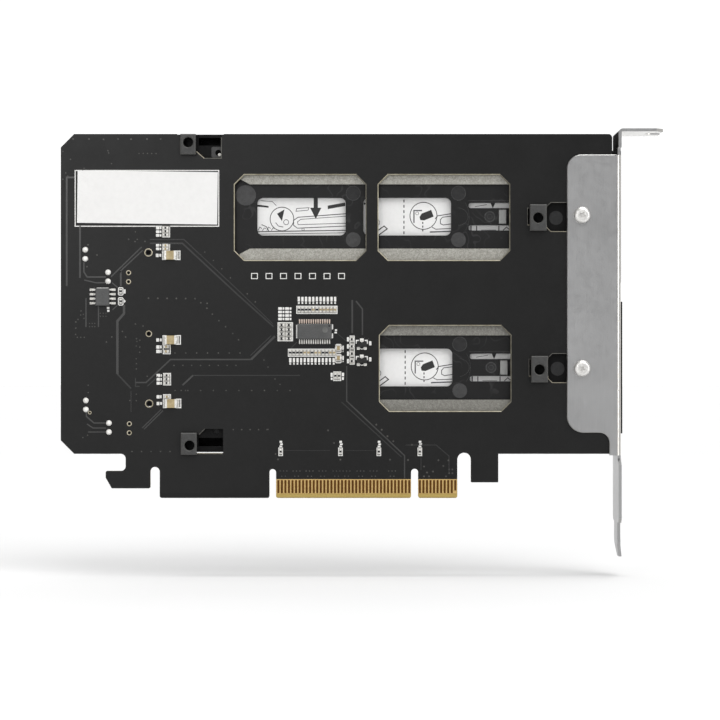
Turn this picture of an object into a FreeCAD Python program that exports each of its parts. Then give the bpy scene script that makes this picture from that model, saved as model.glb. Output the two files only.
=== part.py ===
import FreeCAD, Part
import math
import os
import Sketcher
from FreeCAD import Vector, Placement, Rotation

# Dual-bay expansion card that carries two removable M.2 trays.
# Frame: X along the board towards the bracket, Z up from the card edge, Y through the board.
# Origin: centre of the edge key, at the card's lower edge, in the middle of the board's thickness.
# The solder side faces -Y and the component side faces +Y.

os.makedirs("parts", exist_ok=True)
doc = FreeCAD.newDocument("adapter_card")
sheet = doc.addObject("Spreadsheet::Sheet", "sheet")


class Q:
    """A length that knows its value and the sheet expression it comes from."""

    def __init__(self, val, ex):
        self.val = float(val)
        self.ex = ex

    def __add__(self, o):
        o = q(o)
        return Q(self.val + o.val, "(%s + %s)" % (self.ex, o.ex))

    def __sub__(self, o):
        o = q(o)
        return Q(self.val - o.val, "(%s - %s)" % (self.ex, o.ex))

    def __mul__(self, o):
        o = q(o)
        return Q(self.val * o.val, "(%s * %s)" % (self.ex, o.ex))

    def __truediv__(self, o):
        o = q(o)
        return Q(self.val / o.val, "(%s / %s)" % (self.ex, o.ex))

    def __neg__(self):
        return Q(-self.val, "(0 - %s)" % self.ex)

    def __radd__(self, o):
        return q(o) + self

    def __rsub__(self, o):
        return q(o) - self

    def __rmul__(self, o):
        return q(o) * self


def q(v):
    if isinstance(v, Q):
        return v
    return Q(v, "%.5f" % v if v >= 0 else "(0 - %.5f)" % -v)


DIMS = [
    # board
    ("board_t", 1.57), ("board_left", -100.0), ("board_right", 55.85), ("board_top", 102.9),
    ("board_low", 12.5), ("board_corner", 3.8), ("board_round", 0.8), ("board_tip", 1.1),
    ("hook_x0", -87.3), ("hook_x1", -81.66), ("hook_top", 7.66), ("hook_side", 5.74), ("hook_low", 2.74),
    ("hook_lead", 1.7), ("hook_r", 1.4),
    ("slot_a0", -74.71), ("slot_a1", -72.03), ("slot_a_top", 8.79),
    ("slot_b0", -41.03), ("slot_b1", -39.16), ("slot_b_top", 8.19),
    ("key_w", 2.0), ("key_top", 8.28),
    ("slot_d0", 12.07), ("slot_d1", 15.91), ("slot_d_top", 12.8),
    ("lug_x1", 23.65), ("lug_low", 4.44),
    ("bevel_up", 1.3), ("bevel_in", 0.47),
    # windows
    ("win_w", 37.0), ("win_tall", 24.1), ("win_cham", 2.7),
    ("win1_x", -50.85), ("win2_x", -10.2), ("win3_x", -9.85),
    ("win_up_z", 67.26), ("win_lo_z", 24.6), ("edge_break", 0.24),
    # bays
    ("bay_up", 79.67), ("bay_lo", 36.89), ("lo_shift", 0.35),
    # bracket
    ("br_x", 58.3), ("br_t", 0.86), ("br_w", 18.42), ("br_near", -3.285), ("br_top", 104.3),
    ("br_shoulder", -6.9), ("br_tip", -16.8), ("tongue_w", 10.19), ("tongue_y", 1.2),
    ("flange_x", 43.04), ("flange_top", 97.03), ("flange_low", 18.48), ("flange_foot", 12.09),
    ("flange_neck", 55.02), ("tab_len", 11.9), ("notch_r", 2.2), ("notch_x", 68.0),
    ("screw_x", 47.22), ("screw_r", 1.25), ("screw_hole", 1.4), ("head_r", 2.37), ("head_tall", 1.7),
    # rack
    ("rack_left", -67.4), ("rack_right", 55.4), ("rack_low", 12.95), ("rack_top", 102.86),
    ("rack_back", 14.15), ("wall", 1.9),
    ("rail_half", 19.0), ("rail_t", 0.8), ("rail_in", 9.1), ("rail_x0", -49.6), ("rail_x1", 30.6),
    ("rail_y", 0.9), ("rail_tall", 12.6),
    # trays
    ("tray_half", 18.68), ("tray_y", 1.85), ("tray_floor", 1.5), ("tray_wall", 1.6), ("tray_x0", -65.3),
    ("tray_front", 58.6), ("bezel_t", 6.6), ("tray_tall", 8.6), ("bezel_tall", 11.5),
    ("cut_z", 5.34), ("cut_a0", -44.53), ("cut_a1", -19.5), ("cut_b0", -14.5), ("cut_b1", 10.4),
    ("tongue0", 15.37), ("tongue1", 29.0), ("tongue_half", 2.42), ("tongue_gap", 1.5),
    ("card_t", 0.3), ("pad_t", 1.2), ("lid_t", 1.5),
    ("lever_half", 13.0), ("lever_t", 2.5), ("lever_w", 6.0), ("pin_r", 0.75), ("pin_gap", 0.06),
    # small parts
    ("label_w", 39.6), ("label_tall", 14.8), ("label_t", 0.12),
]
D = {}
for row, (name, value) in enumerate(DIMS, start=1):
    sheet.set("A%d" % row, name)
    sheet.set("B%d" % row, "%g" % value)
    sheet.setAlias("B%d" % row, name)
    D[name] = Q(value, "sheet." + name)
doc.recompute()

SOL = -(D["board_t"] / 2)      # solder face
CMP = D["board_t"] / 2         # component face


def V(name):
    return D[name].val


# ---------------------------------------------------------------- PartDesign helpers

def new_body(label):
    b = doc.addObject("PartDesign::Body", label)
    b.Label = label
    return b


def origin_plane(b, role):
    for o in b.Origin.OriginFeatures:
        if o.Role == role:
            return o
    raise RuntimeError(role)


def new_sketch(b, role, offset):
    sk = b.newObject("Sketcher::SketchObject", b.Label + "_sketch")
    sk.AttachmentSupport = (origin_plane(b, role), [""])
    sk.MapMode = "FlatFace"
    sk.AttachmentOffset = Placement(Vector(0, 0, offset.val), Rotation())
    sk.setExpression("AttachmentOffset.Base.z", offset.ex)
    return sk


def draw(sk, polys=(), circles=()):
    """Closed outlines and circles, every point bound to the sheet."""
    binds = []
    for pts in polys:
        n = len(pts)
        pts = [(q(a), q(b)) for a, b in pts]
        segs = [Part.LineSegment(Vector(pts[i][0].val, pts[i][1].val, 0),
                                 Vector(pts[(i + 1) % n][0].val, pts[(i + 1) % n][1].val, 0)) for i in range(n)]
        ids = sk.addGeometry(segs, False)
        cons = [Sketcher.Constraint("Coincident", ids[i], 2, ids[(i + 1) % n], 1) for i in range(n)]
        for i in range(n):
            for kind, c in (("DistanceX", pts[i][0]), ("DistanceY", pts[i][1])):
                if abs(c.val) < 1e-9:
                    cons.append(Sketcher.Constraint("PointOnObject", ids[i], 1, -2 if kind == "DistanceX" else -1))
                else:
                    binds.append((sk.ConstraintCount + len(cons), c))
                    cons.append(Sketcher.Constraint(kind, -1, 1, ids[i], 1, c.val))
        sk.addConstraint(cons)
    for cx, cy, r in circles:
        cx, cy, r = q(cx), q(cy), q(r)
        g = sk.addGeometry(Part.Circle(Vector(cx.val, cy.val, 0), Vector(0, 0, 1), r.val), False)
        cons = []
        for kind, c in (("DistanceX", cx), ("DistanceY", cy)):
            binds.append((sk.ConstraintCount + len(cons), c))
            cons.append(Sketcher.Constraint(kind, -1, 1, g, 3, c.val))
        binds.append((sk.ConstraintCount + len(cons), r))
        cons.append(Sketcher.Constraint("Radius", g, r.val))
        sk.addConstraint(cons)
    for i, c in binds:
        if "sheet." in c.ex:
            sk.setExpression("Constraints[%d]" % i, c.ex)


def prism(b, role, lo, hi, polys=(), circles=(), cut=False):
    """A pad or pocket between two levels along the normal axis of an origin plane."""
    lo, hi = q(lo), q(hi)
    if role == "XZ_Plane":        # this plane's normal is -Y
        base = -lo if cut else -hi
    else:
        base = hi if cut else lo
    sk = new_sketch(b, role, base)
    draw(sk, polys, circles)
    before = b.Shape.Volume if not b.Shape.isNull() else 0.0
    f = b.newObject("PartDesign::Pocket" if cut else "PartDesign::Pad", b.Label + ("_pocket" if cut else "_pad"))
    f.Profile = sk
    depth = hi - lo
    f.Length = depth.val
    f.setExpression("Length", depth.ex)
    doc.recompute()
    after = b.Shape.Volume
    if (cut and after > before - 1e-6) or (not cut and after < before + 1e-6):
        raise RuntimeError("%s: %s changed nothing" % (b.Label, f.Name))
    return f


def edges_along(b, axis, spots, tol=0.02):
    """Names of straight edges parallel to an axis, through the given spots on the plane across it."""
    k = "xyz".index(axis)
    rest = [i for i in range(3) if i != k]
    names = []
    for n, e in enumerate(b.Shape.Edges, start=1):
        if not isinstance(e.Curve, Part.Line):
            continue
        p0, p1 = e.Vertexes[0].Point, e.Vertexes[-1].Point
        if abs(p0[rest[0]] - p1[rest[0]]) > 1e-5 or abs(p0[rest[1]] - p1[rest[1]]) > 1e-5:
            continue
        for u, v in spots:
            if abs(p0[rest[0]] - u) < tol and abs(p0[rest[1]] - v) < tol:
                names.append("Edge%d" % n)
                break
    return names


def round_edges(b, axis, spots, radius, want=None):
    names = edges_along(b, axis, [(q(u).val, q(v).val) for u, v in spots])
    if not names or (want and len(names) != want):
        raise RuntimeError("%s: fillet found %d edges of %s" % (b.Label, len(names), want))
    f = b.newObject("PartDesign::Fillet", b.Label + "_fillet")
    f.Base = (b.Tip if b.Tip != f else f.BaseFeature, names)
    f.Radius = q(radius).val
    if "sheet." in q(radius).ex:
        f.setExpression("Radius", q(radius).ex)
    doc.recompute()
    return f


def rect(x0, x1, z0, z1):
    return [(x0, z0), (x1, z0), (x1, z1), (x0, z1)]


def octagon(x0, x1, z0, z1, c):
    x0, x1, z0, z1, c = q(x0), q(x1), q(z0), q(z1), q(c)
    return [(x0 + c, z0), (x1 - c, z0), (x1, z0 + c), (x1, z1 - c), (x1 - c, z1), (x0 + c, z1), (x0, z1 - c), (x0, z0 + c)]


# ---------------------------------------------------------------- circuit board
pcb = new_body("pcb")
bl, br_, bt, lo = D["board_left"], D["board_right"], D["board_top"], D["board_low"]
kw = D["key_w"] / 2
prism(pcb, "XZ_Plane", SOL, CMP, polys=[[
    (bl, lo + D["board_corner"]), (bl + D["board_corner"], lo), (D["hook_x1"], lo), (D["hook_x1"], D["hook_top"]),
    (D["hook_x0"], D["hook_top"]), (D["hook_x0"], D["hook_side"]), (D["hook_x0"] + D["hook_lead"], D["hook_low"]),
    (D["slot_a0"], D["hook_low"]), (D["slot_a0"], D["slot_a_top"]), (D["slot_a1"], D["slot_a_top"]),
    (D["slot_a1"], 0), (D["slot_b0"], 0), (D["slot_b0"], D["slot_b_top"]), (D["slot_b1"], D["slot_b_top"]),
    (D["slot_b1"], 0), (-kw, 0), (-kw, D["key_top"]), (kw, D["key_top"]), (kw, 0),
    (D["slot_d0"], 0), (D["slot_d0"], D["slot_d_top"]), (D["slot_d1"], D["slot_d_top"]), (D["slot_d1"], D["lug_low"]),
    (D["lug_x1"], D["lug_low"]), (D["lug_x1"], lo), (br_, lo), (br_, bt),
    (bl + D["board_corner"], bt), (bl, bt - D["board_corner"])]])
# outline roundings: retention hook, slot ends, corners
round_edges(pcb, "y", [(D["hook_x1"], lo), (D["hook_x1"], D["hook_top"])], D["hook_r"], 2)
round_edges(pcb, "y", [(D["slot_a0"], D["slot_a_top"]), (D["slot_a1"], D["slot_a_top"])],
            (D["slot_a1"] - D["slot_a0"]) / 2 - 0.005, 2)
round_edges(pcb, "y", [(D["slot_b0"], D["slot_b_top"]), (D["slot_b1"], D["slot_b_top"])],
            (D["slot_b1"] - D["slot_b0"]) / 2 - 0.005, 2)
round_edges(pcb, "y", [(-kw, D["key_top"]), (kw, D["key_top"])], kw - 0.005, 2)
round_edges(pcb, "y", [(D["slot_d0"], D["slot_d_top"]), (D["slot_d1"], D["slot_d_top"])],
            (D["slot_d1"] - D["slot_d0"]) / 2 - 0.005, 2)
round_edges(pcb, "y", [(br_, bt)], D["board_tip"], 1)
round_edges(pcb, "y", [(br_, lo), (D["slot_a0"], D["hook_low"]), (D["hook_x0"], D["hook_top"])], D["board_round"] * 0.6, 3)
round_edges(pcb, "y", [(D["lug_x1"], D["lug_low"]), (D["slot_d1"], D["lug_low"])], D["board_round"] * 0.3, 2)
round_edges(pcb, "y", [(D["slot_a1"], 0), (D["slot_b0"], 0), (D["slot_b1"], 0), (-kw, 0), (kw, 0), (D["slot_d0"], 0)],
            D["board_round"] * 0.75, 6)
# insertion bevel on both faces of the card edge
for sign, face in ((1, SOL), (-1, CMP)):
    b0 = [(face, 0 - q(0.3)), (face + q(sign) * D["bevel_in"], 0 - q(0.3)), (face + q(sign) * D["bevel_in"], 0),
          (face, D["bevel_up"])]
    prism(pcb, "YZ_Plane", D["slot_a1"] - 1, D["slot_d0"] + 1, polys=[b0], cut=True)
# three windows with chamfered corners
wins = []
for x0, z0 in ((D["win1_x"], D["win_up_z"]), (D["win2_x"], D["win_up_z"]), (D["win3_x"], D["win_lo_z"])):
    wins.append(octagon(x0, x0 + D["win_w"], z0, z0 + D["win_tall"], D["win_cham"]))
prism(pcb, "XZ_Plane", SOL, CMP, polys=wins, cut=True)
# keyhole slots that the rack's feet drop into and slide along
slots = [
    [(-67.2, bt + 1), (-67.2, bt), (-66.2, bt - 0.85), (-66.2, 97.9), (-61.5, 97.9), (-59.45, 96.02), (-54.62, 96.02),
     (-54.62, bt - 0.8), (-53.8, bt), (-53.8, bt + 1)],
    [(-65.6, 12.72), (-54.11, 12.72), (-54.11, 19.55), (-59.3, 19.55), (-60.9, 17.97), (-65.6, 17.97)],
]
for dz, dx in ((0.0, 0.0), (-42.7, 0.4)):
    slots.append([(31.9 + dx, 77.17 + dz), (37.3 + dx, 77.17 + dz), (37.3 + dx, 76.5 + dz), (38.5 + dx, 75.3 + dz),
                  (44.0 + dx, 75.3 + dz), (44.0 + dx, 83.55 + dz), (38.5 + dx, 83.55 + dz), (37.3 + dx, 82.35 + dz),
                  (37.3 + dx, 81.97 + dz), (31.9 + dx, 81.97 + dz)])
prism(pcb, "XZ_Plane", SOL, CMP, polys=slots, cut=True)
# bare laminate rim along the routed openings, solder side
rim = []
for n, e in enumerate(pcb.Shape.Edges, start=1):
    bb = e.BoundBox
    if abs(bb.YMin - SOL.val) > 1e-4 or abs(bb.YMax - SOL.val) > 1e-4 or not isinstance(e.Curve, Part.Line):
        continue
    m = e.valueAt((e.FirstParameter + e.LastParameter) / 2)
    for x0, z0 in ((V("win1_x"), V("win_up_z")), (V("win2_x"), V("win_up_z")), (V("win3_x"), V("win_lo_z"))):
        if x0 - 0.01 <= m.x <= x0 + V("win_w") + 0.01 and z0 - 0.01 <= m.z <= z0 + V("win_tall") + 0.01:
            rim.append("Edge%d" % n)
cham = pcb.newObject("PartDesign::Chamfer", "pcb_rim")
cham.Base = (pcb.Tip if pcb.Tip != cham else cham.BaseFeature, rim)
cham.Size = V("edge_break")
cham.setExpression("Size", "sheet.edge_break")
doc.recompute()
# holes: bracket screws, socket pegs, header pins, spare plated holes
PEGS = [(-75.2, 69.40, 0.9), (-75.3, 89.58, 0.66), (-75.0, 26.70, 0.9), (-75.1, 46.45, 0.66)]
PINS = [(-93.08, 70.16), (-93.08, 67.62), (-86.64, 63.80), (-86.64, 61.26),
        (-92.90, 27.58), (-92.90, 25.04), (-86.38, 21.20), (-86.38, 18.66)]
SPARE = [(-80.84, 63.69), (-80.84, 61.15), (-80.61, 20.99), (-80.61, 18.45), (-91.8, 24.16)]
holes = [(D["screw_x"], D["bay_up"] + 0.24, D["screw_hole"]), (D["screw_x"], D["bay_lo"] - 0.24, D["screw_hole"])]
holes += [(x, z, r) for x, z, r in PEGS]
holes += [(x, z, 0.5) for x, z in PINS] + [(x, z, 0.45 if n < 4 else 0.3) for n, (x, z) in enumerate(SPARE)]
prism(pcb, "XZ_Plane", SOL, CMP, circles=holes, cut=True)

# ---------------------------------------------------------------- bracket
bracket = new_body("bracket")
yn = D["br_near"]
yf = yn + D["br_w"]
xo = D["br_x"]
xi = xo - D["br_t"]
fl = SOL - D["br_t"]                 # outer face of the flange
ty0 = D["tongue_y"]
ty1 = ty0 + D["tongue_w"]
sh = D["br_shoulder"]
prism(bracket, "YZ_Plane", xi, xo, polys=[
    [(yn, sh + 1.2), (yn + 1.2, sh), (ty0, sh), (ty0, sh - 4.3), (ty1, sh - 4.3), (ty1, sh), (yf - 1.2, sh),
     (yf, sh + 1.2), (yf, D["br_top"]), (yn, D["br_top"]), (yn, D["flange_top"] + 1.9), (SOL + 0.6, D["flange_top"] + 1.9),
     (SOL + 0.6, D["flange_top"]), (fl, D["flange_top"]), (fl, D["flange_foot"]), (SOL + 0.6, D["flange_foot"]),
     (SOL + 0.6, D["flange_foot"] - 0.9), (yn, D["flange_foot"] - 2.6)],
    rect(1.6, 13.65, D["bay_up"] - 18.9, D["bay_up"] + 18.9),
    rect(1.6, 13.65, D["bay_lo"] - 18.9, D["bay_lo"] + 18.9)],
    circles=[(5.2, 58.14, 1.05), (10.6, 58.14, 1.05)])
# flange that lies on the solder face
prism(bracket, "XZ_Plane", fl, SOL, polys=[[
    (D["flange_x"], D["flange_low"]), (D["flange_neck"], D["flange_low"]), (D["flange_neck"], D["flange_foot"]),
    (xo, D["flange_foot"]), (xo, D["flange_top"]), (D["flange_x"], D["flange_top"])]],
    circles=[(D["screw_x"], D["bay_up"] + 0.24, D["screw_hole"]), (D["screw_x"], D["bay_lo"] - 0.24, D["screw_hole"])])
# top tab with its screw notch
nx, nr = D["notch_x"], D["notch_r"]
tabx = xo + D["tab_len"]
prism(bracket, "XY_Plane", D["br_top"] - D["br_t"], D["br_top"], polys=[[
    (xi, yn), (tabx - 2.0, yn), (tabx, yn + 2.6), (tabx, 6.0 - nr), (nx, 6.0 - nr), (nx - nr, 6.0 - nr), (nx - nr, 6.0 + nr),
    (nx, 6.0 + nr), (tabx, 6.0 + nr), (tabx, yf - 1.5), (tabx - 1.5, yf), (xi, yf)]])
round_edges(bracket, "z", [(nx - nr, 6.0 - nr), (nx - nr, 6.0 + nr)], nr - 0.002, 2)
# tongue end, set outwards and tapered
prism(bracket, "XZ_Plane", ty0, ty1, polys=[[
    (xi, sh - 4.3), (xi + 0.1, sh - 6.6), (xi + 0.62, D["br_tip"]), (xo + 0.62, D["br_tip"]), (xo + 0.1, sh - 6.6),
    (xo, sh - 4.3)]])
prism(bracket, "YZ_Plane", xi - 1, xo + 2, polys=[
    [(ty0 - 1, sh - 5.4), (ty0, sh - 5.4), (ty0 + 2.6, D["br_tip"]), (ty0 + 2.6, D["br_tip"] - 1), (ty0 - 1, D["br_tip"] - 1)],
    [(ty1 + 1, sh - 5.4), (ty1, sh - 5.4), (ty1 - 2.6, D["br_tip"]), (ty1 - 2.6, D["br_tip"] - 1), (ty1 + 1, D["br_tip"] - 1)]],
    cut=True)
round_edges(bracket, "y", [(D["flange_x"], D["flange_top"])], 4.0, 1)
round_edges(bracket, "y", [(D["flange_x"], D["flange_low"])], 4.7, 1)
round_edges(bracket, "y", [(D["flange_neck"], D["flange_low"])], 2.8, 1)
round_edges(bracket, "z", [(xo, fl)], 1.35, 1)          # bend from plate to flange
round_edges(bracket, "y", [(xi, D["br_top"])], 1.25)    # bend from plate to tab
# stamped edge round the flange's outer face
turn = (xo - 1.36).val
brim = ["Edge%d" % i for i, e in enumerate(bracket.Shape.Edges, start=1)
        if abs(e.BoundBox.YMin - fl.val) < 1e-3 and abs(e.BoundBox.YMax - fl.val) < 1e-3
        and e.BoundBox.XMin < V("flange_neck") + 0.5 and e.BoundBox.DiagonalLength > 4.2 and e.BoundBox.XMin < 54.5
        and not (isinstance(e.Curve, Part.Circle) and e.Curve.Radius < 2.5)]
print("flange edges", len(brim))
edge = bracket.newObject("PartDesign::Chamfer", "flange_brim")
edge.Base = (bracket.Tip if bracket.Tip != edge else edge.BaseFeature, brim)
edge.Size = 0.2
doc.recompute()

# two pan-head screws, a crosswise recess in each head
SC = [(D["screw_x"], D["bay_up"] + 0.24), (D["screw_x"], D["bay_lo"] - 0.24)]
tool = []
for n, (sx, sz) in enumerate(SC):
    head = doc.addObject("Part::Cylinder", "head%d" % n)
    head.setExpression("Radius", "sheet.head_r")
    head.setExpression("Height", "sheet.head_tall")
    shank = doc.addObject("Part::Cylinder", "shank%d" % n)
    shank.setExpression("Radius", "sheet.screw_r")
    shank.Height = 3.3
    doc.recompute()
    head.Placement = Placement(Vector(sx.val, fl.val, sz.val), Rotation(Vector(1, 0, 0), 90))
    shank.Placement = Placement(Vector(sx.val, fl.val + 3.3, sz.val), Rotation(Vector(1, 0, 0), 90))
    dome = doc.addObject("Part::Fillet", "dome%d" % n)
    dome.Base = head
    doc.recompute()
    rim_edge = [i for i, e in enumerate(head.Shape.Edges, start=1)
                if isinstance(e.Curve, Part.Circle) and abs(e.BoundBox.YMax - (fl.val - V("head_tall"))) < 1e-4]
    dome.Edges = [(rim_edge[0], 1.05, 1.05)]
    arm = []
    for a in (0, 90):
        bar = doc.addObject("Part::Box", "bar%d_%d" % (n, a))
        bar.Length, bar.Width, bar.Height = 1.7, 1.1, 0.42
        bar.Placement = Placement(Vector(sx.val, fl.val - V("head_tall") - 0.2, sz.val),
                                  Rotation(Vector(0, 1, 0), a + 28)).multiply(Placement(Vector(-0.85, 0, -0.21), Rotation()))
        arm.append(bar)
    well = doc.addObject("Part::Cylinder", "well%d" % n)
    well.Radius, well.Height = 0.5, 1.1
    well.Placement = Placement(Vector(sx.val, fl.val - V("head_tall") + 0.9, sz.val), Rotation(Vector(1, 0, 0), 90))
    arm.append(well)
    fuse = doc.addObject("Part::MultiFuse", "screw%d" % n)
    fuse.Shapes = [dome, shank]
    cutter = doc.addObject("Part::MultiFuse", "driver%d" % n)
    cutter.Shapes = arm
    one = doc.addObject("Part::Cut", "screw_cut%d" % n)
    one.Base, one.Tool = fuse, cutter
    tool.append(one)
doc.recompute()
screws = doc.addObject("Part::Feature", "bracket_screws")
screws.Label = "bracket_screws"
screws.Shape = Part.makeCompound([o.Shape.copy() for o in tool])
screws.Placement = Placement()

# ---------------------------------------------------------------- rack base (moulded frame with T feet)
base = new_body("rack_base")
rl, rr, r0, r1 = D["rack_left"], D["rack_right"], D["rack_low"], D["rack_top"]
yb0 = CMP + 0.06
yb1 = D["rack_back"]
w = D["wall"]
zu, zl = D["bay_up"], D["bay_lo"]
rh = D["rail_half"] + D["rail_t"] + 0.15
# top rail, middle rail and bottom rail of the frame, hollow where they are thick
prism(base, "XZ_Plane", yb0, yb1, polys=[rect(rl, rr, zu + rh, r1), rect(rl, rr, zl + rh, zu - rh), rect(rl, rr, r0, zl - rh)])
# rear floor, front floor
prism(base, "XZ_Plane", yb0, yb0 + 0.75, polys=[
    rect(rl, D["rail_x0"] - 1.9, zl - rh - 0.5, r1 - 0.5)])
prism(base, "XZ_Plane", yb0, yb0 + 0.75, polys=[rect(D["rail_x1"] + 0.3, rr, zl - rh - 0.5, zu + rh + 0.5)])
PEEK = [(-55.5, 97.3, 1.0), (-56.15, 18.8, 0.8)]      # holes right through the rack and its cover
# pockets that thin the long walls
prism(base, "XZ_Plane", yb0 - 0.1, yb0 + 9.0, polys=[
    rect(-61.1, -54.3, 99.75, 101.95), rect(-52.5, -30.0, 100.3, 101.75), rect(-28.5, -6.0, 100.3, 101.75),
    rect(-4.5, 18.0, 100.3, 101.75), rect(19.5, 42.0, 100.3, 101.75)], cut=True)
prism(base, "XZ_Plane", yb0 - 0.1, yb0 + 9.0, polys=[
    rect(-61.2, -54.3, 14.6, 17.0), rect(-52.5, -30.0, 14.2, 15.6), rect(-28.5, -6.0, 14.2, 15.6),
    rect(-4.5, 18.0, 14.2, 15.6), rect(19.5, 42.0, 14.2, 15.6)], cut=True)
prism(base, "XZ_Plane", yb0 - 0.1, yb1 + 0.1, circles=[(x, z, r) for x, z, r in PEEK], cut=True)
# T feet: a neck through the board, then a head that bears on the solder face
FEET = [(-65.85, -61.83, 98.25, 102.6, -66.08, -61.79, 97.0, 102.78, -63.9, 100.42, 1.42),
        (-65.45, -61.54, 13.1, 17.7, -65.95, -61.50, 12.3, 18.48, -63.5, 14.92, 1.40),
        (32.7, 37.0, 77.35, 81.8, 32.49, 37.2, 75.5, 82.9, 34.83, 79.13, 1.46),
        (33.1, 37.4, 34.65, 39.1, 32.88, 37.55, 32.7, 40.16, 35.23, 36.32, 1.46)]
fy = SOL - 0.05
for nx0, nx1, nz0, nz1, hx0, hx1, hz0, hz1, cx, cz, cr in FEET:
    prism(base, "XZ_Plane", fy, yb0 + 0.1, polys=[rect(nx0, nx1, nz0, nz1)])
    prism(base, "XZ_Plane", fy - 2.3, fy, polys=[rect(hx0, hx1, hz0, hz1)])
    prism(base, "XZ_Plane", fy - 2.4, fy + 2.2, circles=[(cx, cz, cr)], cut=True)
prism(base, "XZ_Plane", yb0 - 0.1, yb0 + 0.76,
      circles=[(D["screw_x"], D["bay_up"] + 0.24, 1.3), (D["screw_x"], D["bay_lo"] - 0.24, 1.3)], cut=True)
# broken edges round each foot's face and its hole
front = (fy - 2.3).val
lips = [i for i, e in enumerate(base.Shape.Edges, start=1)
        if abs(e.BoundBox.YMin - front) < 1e-3 and abs(e.BoundBox.YMax - front) < 1e-3]
names = ["Edge%d" % i for i in lips]
if len(names) != 20:
    raise RuntimeError("foot faces: %d edges" % len(names))
lip = base.newObject("PartDesign::Chamfer", "foot_lips")
lip.Base = (base.Tip if base.Tip != lip else lip.BaseFeature, names)
lip.Size = 0.28
doc.recompute()
# holes for the cover screws and the lamp pipes
CS = [(-63.8, 58.14), (0.0, 58.14), (36.0, 58.14), (47.0, 101.1), (47.0, 14.9), (-64.4, 101.1), (-64.4, 14.9)]
prism(base, "XZ_Plane", yb1 - 6.0, yb1 + 0.1, circles=[(x, z, 0.86) for x, z in CS], cut=True)
prism(base, "YZ_Plane", 44.0, rr + 0.5, circles=[(5.2, 58.14, 1.05), (10.6, 58.14, 1.05)], cut=True)

# ---------------------------------------------------------------- folded bay rails
def bay_rails(label, zc, flare):
    b = new_body(label)
    h, t, n = D["rail_half"], D["rail_t"], D["rail_in"]
    x0, x1 = D["rail_x0"], D["rail_x1"]
    y0 = D["rail_y"]
    # floor sheet with a long open-ended cut-out, lead-in flares at its rear end
    prism(b, "XZ_Plane", y0, y0 + t, polys=[[
        (x0, zc - h - t), (x1, zc - h - t), (x1, zc + h + t), (x0, zc + h + t), (x0, zc + n + 1.6), (x0 + 3.0, zc + n),
        (x1 - 2.6, zc + n), (x1 - 2.6, zc - n), (x0 + 3.0, zc - n), (x0, zc - n - 1.6)]])
    prism(b, "XZ_Plane", y0, y0 + D["rail_tall"], polys=[rect(x0, x1, zc + h, zc + h + t), rect(x0, x1, zc - h - t, zc - h)])
    round_edges(b, "x", [(y0, zc + h + t), (y0, zc - h - t)], 1.1, 2)
    if flare:
        # a stiffening bead pressed along the inner edge of this rail
        prism(b, "XZ_Plane", y0 - 0.0, y0 + t, polys=[rect(x0 + 3.2, x1 - 3, zc + n - 0.55, zc + n)])
    return b


upper_rails = bay_rails("upper_bay_rails", D["bay_up"], False)
lower_rails = bay_rails("lower_bay_rails", D["bay_lo"], False)


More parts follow.
